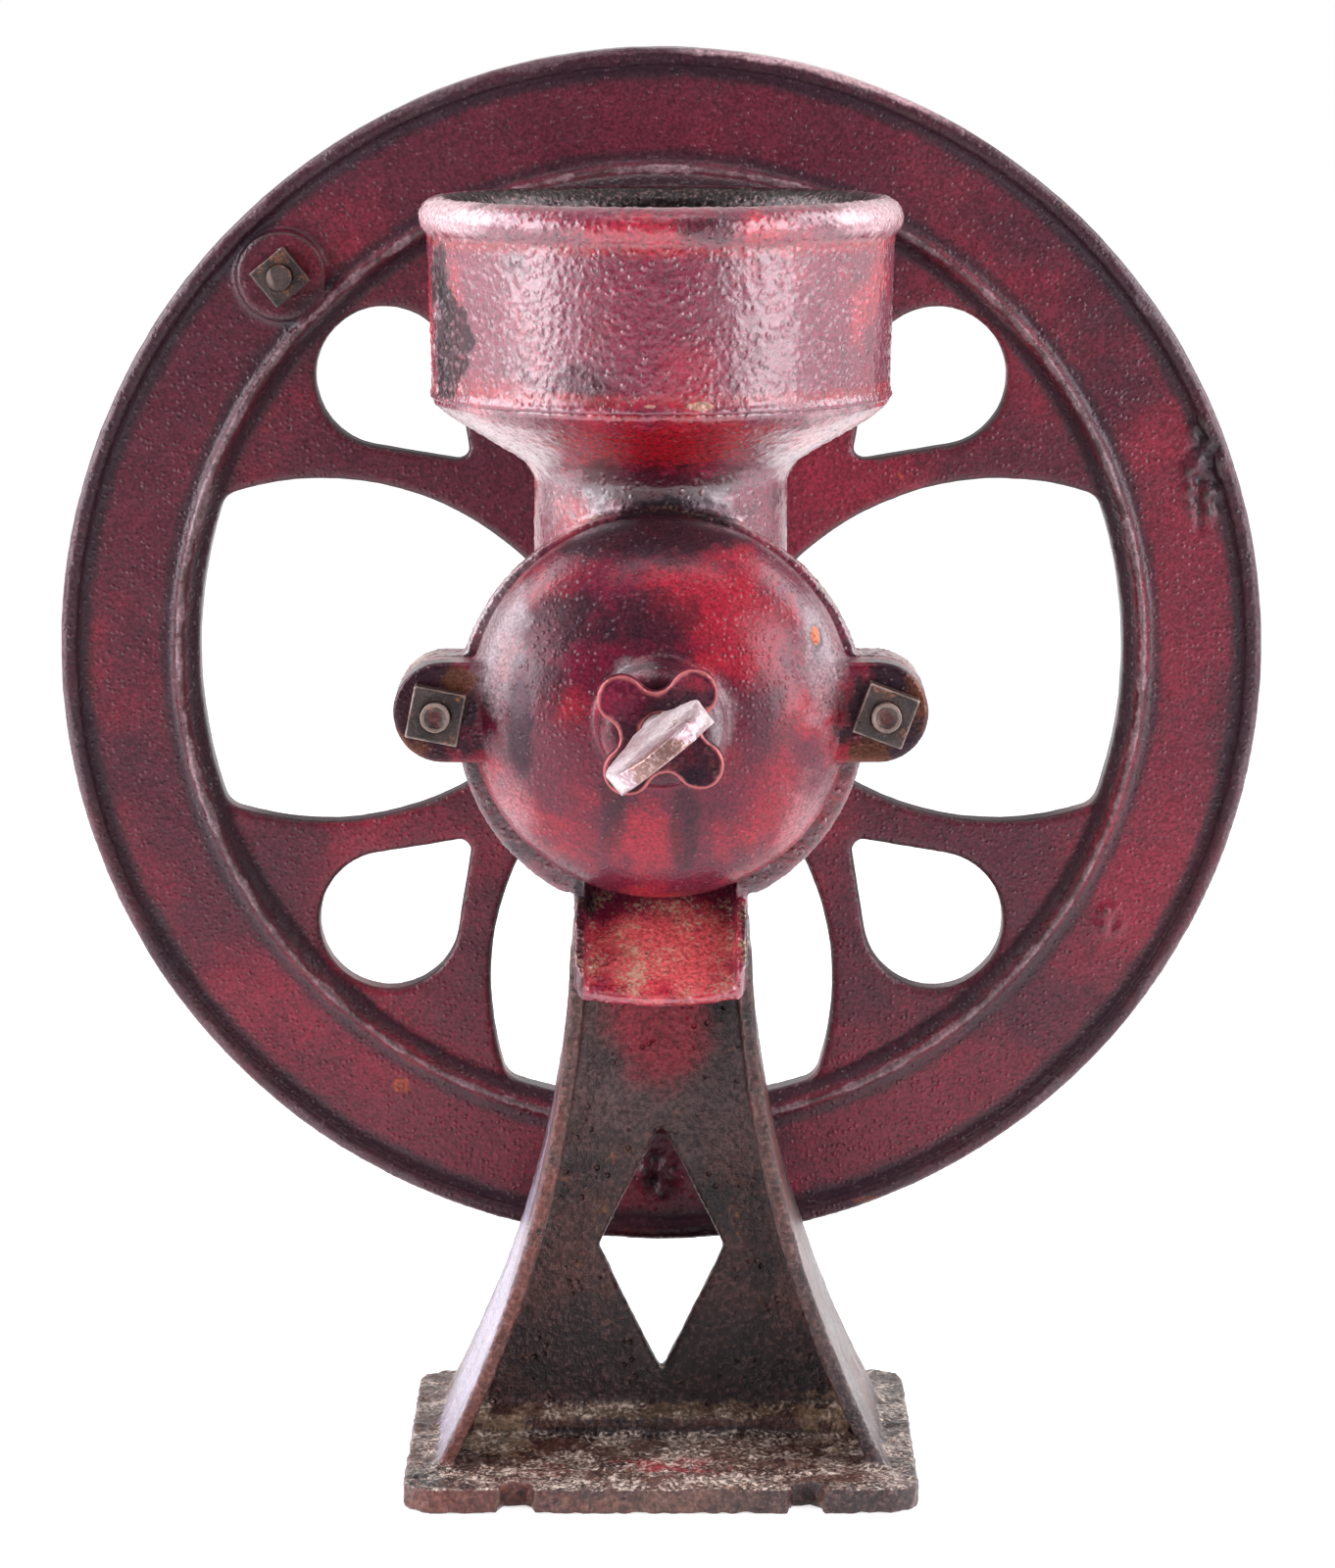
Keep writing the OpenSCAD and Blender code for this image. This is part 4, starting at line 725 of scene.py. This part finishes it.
flywheel = dict(
    shape=dict(
        voxel=0.85, soften=1, lumps=[(2.4, 0.05), (7, 0.10), (22, 0.12)], mostTriangles=195000,
        scars=[dict(at=(121.5, 45, 214), reach=(4, 5, 12), size=2.6, lift=0.3, rugged=1.9),
               dict(at=(101.4, 45, 112), reach=(3.5, 5, 3.5), size=2.2, lift=0.4, rugged=1.4),
               dict(at=(-0.6, 45, 54), reach=(4.5, 5, 6), size=2.6, lift=0.3, rugged=1.7)]),
    look=dict(
        grain=0.8, wearStart=0.522, wearFull=0.56, streak=(1, 1, 1), redSize=30, redShare=(0.42, 0.72),
        deep=rgb(0.08, 0.013, 0.024), fresh=rgb(0.2, 0.016, 0.032), smokeSize=22, smokeShare=(0.5, 0.74),
        smokeDepth=0.5, fleck=0.55, gritSize=1.2, gritLight=0.12, gritTone=rgb(0.26, 0.08, 0.1),
        hollow=0.9, edge=0.8, edgeTone=rgb(0.05, 0.034, 0.032), chipSize=7, chips=0.05, rough=0.3,
        gloss=0.4, sootMetal=0.0, coat=0.0, bump=0.15, crest=rgb(0.32, 0.22, 0.24), bands=[
            # dark lines beside the lip and the ridge: painted shadow
            wheelBand("soot", 131.0, half=3.6, core=0.3, share=0.85, breakSize=9, ragged=3),
            wheelBand("soot", 111.5, half=2.4, core=0.2, share=0.7, breakSize=9, ragged=3),
            wheelBand("soot", 105.6, half=2.4, core=0.3, share=0.85, breakSize=9, ragged=3),
            # light lines on the ridge and the lip: painted highlights
            wheelBand("crest", 108.7, half=0.9, core=0.3, share=0.6, breakSize=8, ragged=4),
            wheelBand("crest", 135.2, half=1.2, core=0.3, share=0.4, breakSize=20, ragged=9),
            # outer lip darkened
            wheelBand("soot", 134.4, half=2.2, core=0.4, share=0.6, breakSize=14, ragged=3),
            # top of the lip: painted highlight
            wheelBand("chalk", 135.4, half=1.6, core=0.3, share=0.6, breakSize=6, ragged=3,
                      part=dict(at=(40, 44, 302), reach=(40, 20, 14), share=1.0))],
        # spoke opening walls: painted shade
        walls=dict(at=wheelAxis, reach=(101, 30, 101), share=0.9, soft=0.08, ragged=0.0),
        patches=[
            # top rim darker, lower and right rim lighter: painted shade and painted light
            blot("deep", (0, 45, 298), (95, 14, 36), 0.7),
            blot("fresh", (112, 45, 130), (18, 12, 40), 0.5),
            blot("fresh", (60, 45, 70), (40, 12, 20), 0.5),
            blot("fresh", (-50, 45, 65), (40, 12, 20), 0.4),
            blot("fresh", (118, 45, 185), (14, 12, 26), 0.5),
            blot("soot", (121.5, 44, 214), (5, 6, 13), 0.6),
            blot("soot", (0, 44, 54), (5, 6, 7), 0.5),
            blot("rust", (-59.6, 43, 74), (2.4, 4, 1.8), 0.5, soft=0.3, ragged=1.2),
            blot("rust", (47, 43, 47.4), (5, 4, 1.0), 0.7, soft=0.3, ragged=1.2),
            blot("rust", (91, 43, 274), (2, 4, 0.8), 0.6, soft=0.3, ragged=1.2)]))

castPiece("flywheel", flywheel["shape"], castPaint("wheelPaint", flywheel["look"]))


# pedestal

pedestal = dict(
    filletRise=6.0, filletRun=4.5, filletDrop=2.2, filletRoot=0.4, filletSunk=1.0, webHalf=2.5,
    plateTop=5.5, webReach=42.0,
    shape=dict(voxel=0.9, soften=3, lumps=[(2.2, 0.12), (7, 0.15), (18, 0.15)], mostTriangles=190000,
               scars=[
        dict(at=(0, 0, 3), reach=(80, 80, 4), size=2.2, lift=-0.1, rugged=0.9)]),
    look=dict(
        grain=1.0, dark=rgb(0.018, 0.01, 0.011), light=rgb(0.075, 0.03, 0.026), rustSize=9, rust=0.3,
        fleck=0.4, speckle=0.75, fleckTone=rgb(0.13, 0.075, 0.06), edge=0.75,
        edgeTone=rgb(0.075, 0.036, 0.028), dustShare=0.8, hollow=0.8, dustTone=rgb(0.72, 0.6, 0.5),
        rough=0.3, metal=0.0, gloss=0.45, bump=0.5, red=rgb(0.38, 0.016, 0.04),
        brown=rgb(0.12, 0.06, 0.042), umber=rgb(0.12, 0.028, 0.018), grit=rgb(0.3, 0.2, 0.12),
        pale=rgb(0.36, 0.32, 0.42), mist=rgb(0.15, 0.095, 0.095), patches=[
            # upper web lightened: painted light
            blot("mist", (0, -3, 82), (30, 5, 20), 0.55, soft=0.8),
            blot("red", (0, -2, 97), (12, 6, 15), 0.85, ragged=0.3),
            # left-facing flange side lightened: painted sheen
            blot("pale", (-46, -6, 46), (30, 40, 62), 0.9, ragged=0.5, facing=(-1, 0, 0)),
            blot("brown", (0, 0, 1), (80, 80, 7), 0.75, ragged=1.0),
            blot("dark", (60, 10, 5), (26, 60, 6), 0.6, ragged=1.2),
            blot("umber", (-26, -18, 50), (9, 14, 60), 0.7, ragged=0.8),
            blot("umber", (26, -18, 60), (9, 14, 50), 0.6, ragged=0.8),
            blot("umber", (-26, -34, 16), (8, 12, 18), 0.5, ragged=1.0),
            blot("umber", (-45, -42, 40), (34, 26, 90), 0.75, ragged=0.9, facing=(0, -1, 0)),
            blot("dark", (45, -42, 40), (34, 26, 90), 0.75, ragged=0.9, facing=(0, -1, 0)),
            blot("dark", (0, -3, 21), (44, 5, 15), 0.85, ragged=0.5),
            # dark line in front of the web's foot: painted shadow
            blot("dark", (0, -8.4, 6.2), (46, 2.6, 1.6), 0.9, soft=0.3, ragged=0.5),
            blot("grit", (0, -5.5, 10.6), (46, 4, 1.8), 0.4, soft=0.4, ragged=1.8),
            blot("grit", (-37, -14, 8), (9, 10, 6), 0.6, soft=0.3, ragged=1.6),
            blot("grit", (38, -12, 10), (7, 10, 7), 0.6, soft=0.3, ragged=1.6),
            blot("red", (2, -33, 5), (11, 7, 4), 0.55, soft=0.3, ragged=1.6)]))


def footFillet(work):  # sand-cast bolster where the web meets the plate
    p = pedestal
    half, low, top = p["webHalf"], p["plateTop"] - p["filletSunk"], p["plateTop"] + p["filletRise"]
    inner, outer = half * p["filletRoot"], half + p["filletRun"]
    for side in (-1, 1):
        section = [(side * inner, low), (side * outer, low), (side * outer, top - p["filletDrop"]),
                   (side * half, top), (side * inner, top)]
        ends = [[work.verts.new(Vector((x, y, z)) * mm) for y, z in section]
                for x in (-p["webReach"], p["webReach"])]
        work.faces.new(ends[0])
        work.faces.new(list(reversed(ends[1])))
        for i in range(len(section)):
            j = (i + 1) % len(section)
            work.faces.new((ends[0][i], ends[1][i], ends[1][j], ends[0][j]))
    bmesh.ops.recalc_face_normals(work, faces=work.faces)


castPiece("pedestal", pedestal["shape"], ironFinish("pedestalIron", pedestal["look"]), footFillet)


# thumb screw, nuts and bolts

brightSteel = dict(grain=0.8, dark=rgb(0.52, 0.42, 0.42), light=rgb(0.76, 0.69, 0.69), rustSize=6,
                   rust=0.3, fleck=0.3, fleckTone=rgb(0.8, 0.75, 0.75), edge=0.6,
                   edgeTone=rgb(0.8, 0.74, 0.74), rough=0.36, metal=0.6, gloss=0.5, bump=0.1,
                   stain=rgb(0.26, 0.13, 0.09), plum=rgb(0.34, 0.2, 0.24), patches=[
                       blot("plum", (1, -121, 173), (19, 4.5, 15), 0.75, soft=0.4, ragged=1.4),
                       blot("stain", (2, -122, 173), (8, 3, 6), 0.75, soft=0.3, ragged=1.8)])
oldSteel = dict(
    grain=0.6, dark=rgb(0.024, 0.016, 0.015), light=rgb(0.062, 0.042, 0.038), rustSize=5, rust=0.4,
    fleck=0.2, fleckTone=rgb(0.12, 0.08, 0.065), edge=0.8, edgeTone=rgb(0.3, 0.22, 0.19), rough=0.4,
    metal=0.3, gloss=0.6, bump=0.12, wearStart=0.515, wearFull=0.56)
grimySteel = dict(oldSteel, edge=0.5, edgeTone=rgb(0.11, 0.08, 0.07))
boltSpots = [(side * 46.8, -66, 173.5) for side in (-1, 1)]
boltEnd = dict(
    oldSteel, rim=rgb(0.24, 0.17, 0.14), paint=rgb(0.09, 0.014, 0.014),
    patches=[blot("paint", spot, (1.9, 6, 1.9), 0.7) for spot in boltSpots],
    # light ring round each bolt end's dimple: painted highlight
    bands=[dict(tone="rim", axis=spot, radius=2.6, half=0.42, core=0.4, share=0.75, breakSize=1.5,
                ragged=0.6)
           for spot in boltSpots])
burrIron = dict(grain=0.9, dark=rgb(0.1, 0.095, 0.09), light=rgb(0.24, 0.23, 0.22), rustSize=7,
                rust=0.35, fleck=0.2, fleckTone=rgb(0.3, 0.28, 0.26), edge=0.5,
                edgeTone=rgb(0.4, 0.38, 0.36), rough=0.45, metal=0.6, gloss=0.5, bump=0.15)

screwSteel = ironFinish("screwSteel", brightSteel)
boltSteel = ironFinish("boltSteel", oldSteel)
endSteel = ironFinish("endSteel", boltEnd)
grimSteel = ironFinish("grimSteel", grimySteel)
burrSteel = ironFinish("burrIron", burrIron)

screwShape = dict(voxel=0.3, soften=7, lumps=[(2, 0.05), (7, 0.15)], melted=[
    dict(at=(10.5, -115, 180.5), reach=7, steps=220), dict(at=(-10, -116, 165.5), reach=5, steps=40)])
nutShape = dict(voxel=0.28, soften=3, lumps=[(1.6, 0.03), (5, 0.08)])
boltShape = dict(voxel=0.3, soften=2, lumps=[(1.6, 0.03), (5, 0.06)], scars=[
    dict(at=spot, reach=(2.0, 3, 2.0), size=1.2, lift=-0.6, rugged=0.1) for spot in boltSpots])
castPiece("adjusting_screw", screwShape, screwSteel)
castPiece("cover_nuts", nutShape, boltSteel)
castPiece("cover_bolts", boltShape, endSteel)
castPiece("crank_nut", nutShape, grimSteel)
for name in ("pedestal_bolts", "crank_spindle", "shaft_washer", "shaft_nut", "hopper_screws"):
    dressNode(name, boltSteel, 0.35)
for name in ("fixed_burr_screws", "worm_pin", "burr_pin", "flywheel_key"):
    dressNode(name, boltSteel)
for name in ("shaft", "thrust_button"):
    dressNode(name, screwSteel, 0.3)
for name in ("feed_worm", "fixed_burr", "rotating_burr"):
    dressNode(name, burrSteel)


# turned grip

grip = dict(steps=64, around=72, bore=5.05, endRadius=10.5, fullRadius=13.95, roundEnd=1.6,
            grooveDepth=0.45, grooveWidth=1.1, grooves=(0.07, 0.93), swell=0.7,
            ringScale=1 / (2.6 * 6 * mm), figurePull=0.06, swayScale=90.0, swayShift=0.004, poreSize=0.5,
            porePull=0.05, grimeSize=14.0, light=rgb(0.36, 0.17, 0.065),
            dark=rgb(0.12, 0.045, 0.018), grime=rgb(0.05, 0.022, 0.012))


def gripWood():
    material, tree, shader, place = startMaterial("gripWood")
    along = put(tree, "Mapping", {"Vector": place, "Scale": (1.0, grip["figurePull"], 1.0)}).outputs[0]
    sway = put(tree, "TexNoise", {"Vector": along, "Scale": grip["swayScale"]}).outputs["Color"]
    bent = vec(tree, "MULTIPLY_ADD", along, sway, (grip["swayShift"],) * 3)
    figure = {"Vector": bent, "Scale": grip["ringScale"], "Distortion": 3.0, "Detail": 3.0}
    rings = put(tree, "TexWave", figure, wave_type="RINGS", rings_direction="Y").outputs[1]
    drawn = put(tree, "Mapping", {"Vector": place, "Scale": (1.0, grip["porePull"], 1.0)}).outputs[0]
    pores = cloud(tree, drawn, grip["poreSize"], 2.0)
    colour = blend(tree, ramp(tree, rings, 0.2, 0.9), grip["light"], grip["dark"])
    colour = stain(tree, colour, ramp(tree, pores, 0.52, 0.7), 0.6, grip["dark"])
    grime = ramp(tree, cloud(tree, place, grip["grimeSize"], 4.0), 0.48, 0.7)
    colour = stain(tree, colour, grime, 0.6, grip["grime"])
    plug(tree, shader.inputs["Base Color"], colour)
    plug(tree, shader.inputs["Roughness"], calc(tree, "MULTIPLY_ADD", grime, 0.2, 0.34))
    bumped(tree, shader, pores, 0.1)
    return material


def turnedGrip():
    low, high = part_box("crank_grip")
    axisX, axisZ = (low.x + high.x) / 2, (low.z + high.z) / 2
    length, thin, thick = high.y - low.y, grip["endRadius"], grip["fullRadius"]
    profile = [(grip["bore"] * mm, low.y)]
    for i in range(grip["steps"] + 1):
        t = i / grip["steps"]
        radius = thin + (thick - thin) * math.sin(math.pi * t) ** grip["swell"]
        ends = min(t, 1 - t) * length / mm
        radius -= max(0.0, grip["roundEnd"] - ends) ** 2 / (2 * grip["roundEnd"])
        for groove in grip["grooves"]:
            off = (t - groove) * length / mm / grip["grooveWidth"]
            radius -= grip["grooveDepth"] * math.exp(-off * off)
        profile.append((radius * mm, low.y + t * length))
    profile.append((grip["bore"] * mm, high.y))
    work = bmesh.new()
    rings = []
    for step in range(grip["around"]):
        turn = 2 * math.pi * step / grip["around"]
        across, up = math.cos(turn), math.sin(turn)
        rings.append([work.verts.new((axisX + r * across, y, axisZ + r * up)) for r, y in profile])
    for step in range(grip["around"]):
        here, there = rings[step], rings[(step + 1) % grip["around"]]
        for i in range(len(profile)):
            j = (i + 1) % len(profile)
            work.faces.new((here[i], here[j], there[j], there[i]))
    bmesh.ops.recalc_face_normals(work, faces=work.faces)
    mesh = bpy.data.meshes.new("turnedGrip")
    work.to_mesh(mesh)
    work.free()
    piece = bpy.data.objects.new("turnedGrip", mesh)
    bpy.context.scene.collection.objects.link(piece)
    finishPiece(piece, "crank_grip", gripWood())


turnedGrip()
print("grip turned")


# studio

studio = dict(
    floorSize=12.0, floorTone=rgb(0.8, 0.8, 0.8), floorGlow=0.7, floorDrop=0.2, behindFloor=(-0.6, 0.2),
    besideFloor=(0.4, 0.75), skyLight=0.45, behindSky=(-0.5, 0.4), frontSky=0.12,
    boxTint=(0.97, 0.93, 1.0), aim=(0, -0.03, 0.22),
    lamps=[dict(name="leftBox", at=(-0.84, -0.44, 0.38), size=(0.4, 0.6), power=7.5),
           dict(name="rightBox", at=(0.74, -0.56, 0.38), size=(0.4, 0.6), power=6.5),
           dict(name="leftWall", at=(-0.85, 0.10, 0.66), size=(0.5, 0.8), power=8.5),
           dict(name="rightWall", at=(0.85, 0.10, 0.66), size=(0.5, 0.8), power=7.5),
           dict(name="topBox", at=(0.05, -0.50, 1.10), aim=(0, 0, 0.15), size=(0.8, 0.14), power=1.8)])
view = dict(at=(0.0014, -1.2728, 0.3386), tilt=8.43, lens=135.0, sensor=36.0)


def seenDirectly(tree):  # camera rays, and glossy or transmission rays
    path = put(tree, "LightPath").outputs
    shine = calc(tree, "MAXIMUM", path["Is Glossy Ray"], path["Is Transmission Ray"])
    return path["Is Camera Ray"], shine


def makeFloor():
    half = studio["floorSize"] / 2
    mesh = bpy.data.meshes.new("floor")
    corners = [(-half, -half, 0), (half, -half, 0), (half, half, 0), (-half, half, 0)]
    mesh.from_pydata(corners, [], [(0, 1, 2, 3)])
    floor = bpy.data.objects.new("floor", mesh)
    floor.location.z = cadBounds[0][2] - studio["floorDrop"] * mm
    bpy.context.scene.collection.objects.link(floor)
    material = bpy.data.materials.new("paleFloor")
    material.use_nodes = True
    tree = material.node_tree
    tree.nodes.remove(tree.nodes["Principled BSDF"])
    camera, shine = seenDirectly(tree)
    place = put(tree, "TexCoord").outputs["Object"]
    behind = ramp(tree, axes(tree, place)["Y"], *studio["behindFloor"], studio["frontSky"], 1.0)
    aside = calc(tree, "ABSOLUTE", axes(tree, vec(tree, "NORMALIZE", place))["X"])
    backdrop = calc(tree, "MAXIMUM", behind, ramp(tree, aside, *studio["besideFloor"]))
    shown = calc(tree, "MAXIMUM", camera, calc(tree, "MULTIPLY", shine, backdrop))
    glow = calc(tree, "MULTIPLY", shown, studio["floorGlow"])
    matte = put(tree, "BsdfDiffuse", {"Color": studio["floorTone"]}).outputs[0]
    light = put(tree, "Emission", {"Color": rgb(1, 1, 1), "Strength": glow}).outputs[0]
    both = put(tree, "AddShader", {0: matte, 1: light}).outputs[0]
    plug(tree, tree.nodes["Material Output"].inputs["Surface"], both)
    mesh.materials.append(material)


def makeSky():
    world = bpy.data.worlds.new("studio")
    bpy.context.scene.world = world
    world.use_nodes = True
    tree = world.node_tree
    camera, shine = seenDirectly(tree)
    direction = axes(tree, put(tree, "TexCoord").outputs["Generated"])
    backdrop = ramp(tree, direction["Y"], *studio["behindSky"], studio["frontSky"], 1.0)
    strength = put(tree, "Mix", {0: shine, 2: studio["skyLight"], 3: backdrop},
                   data_type="FLOAT").outputs[0]
    strength = put(tree, "Mix", {0: camera, 2: strength, 3: 1.0}, data_type="FLOAT").outputs[0]
    plug(tree, tree.nodes["Background"].inputs["Strength"], strength)
    tree.nodes["Background"].inputs["Color"].default_value = rgb(1, 1, 1)


def makeLamps():
    for lamp in studio["lamps"]:
        light = bpy.data.lights.new(lamp["name"], "AREA")
        light.shape = "RECTANGLE"
        light.size, light.size_y = lamp["size"]
        light.energy = lamp["power"]
        light.color = studio["boxTint"]
        holder = bpy.data.objects.new(lamp["name"], light)
        holder.location = lamp["at"]
        aim = Vector(lamp.get("aim", studio["aim"])) - Vector(lamp["at"])
        holder.rotation_euler = aim.to_track_quat("-Z", "Y").to_euler()
        bpy.context.scene.collection.objects.link(holder)


def makeCamera():
    data = bpy.data.cameras.new("camera")
    data.lens, data.sensor_width = view["lens"], view["sensor"]
    camera = bpy.data.objects.new("camera", data)
    camera.location = view["at"]
    camera.rotation_euler = (math.radians(90 - view["tilt"]), 0, 0)
    bpy.context.scene.collection.objects.link(camera)
    bpy.context.scene.camera = camera


makeFloor()
makeSky()
makeLamps()
makeCamera()
bpy.context.scene.view_settings.view_transform = "Standard"
print("studio set")
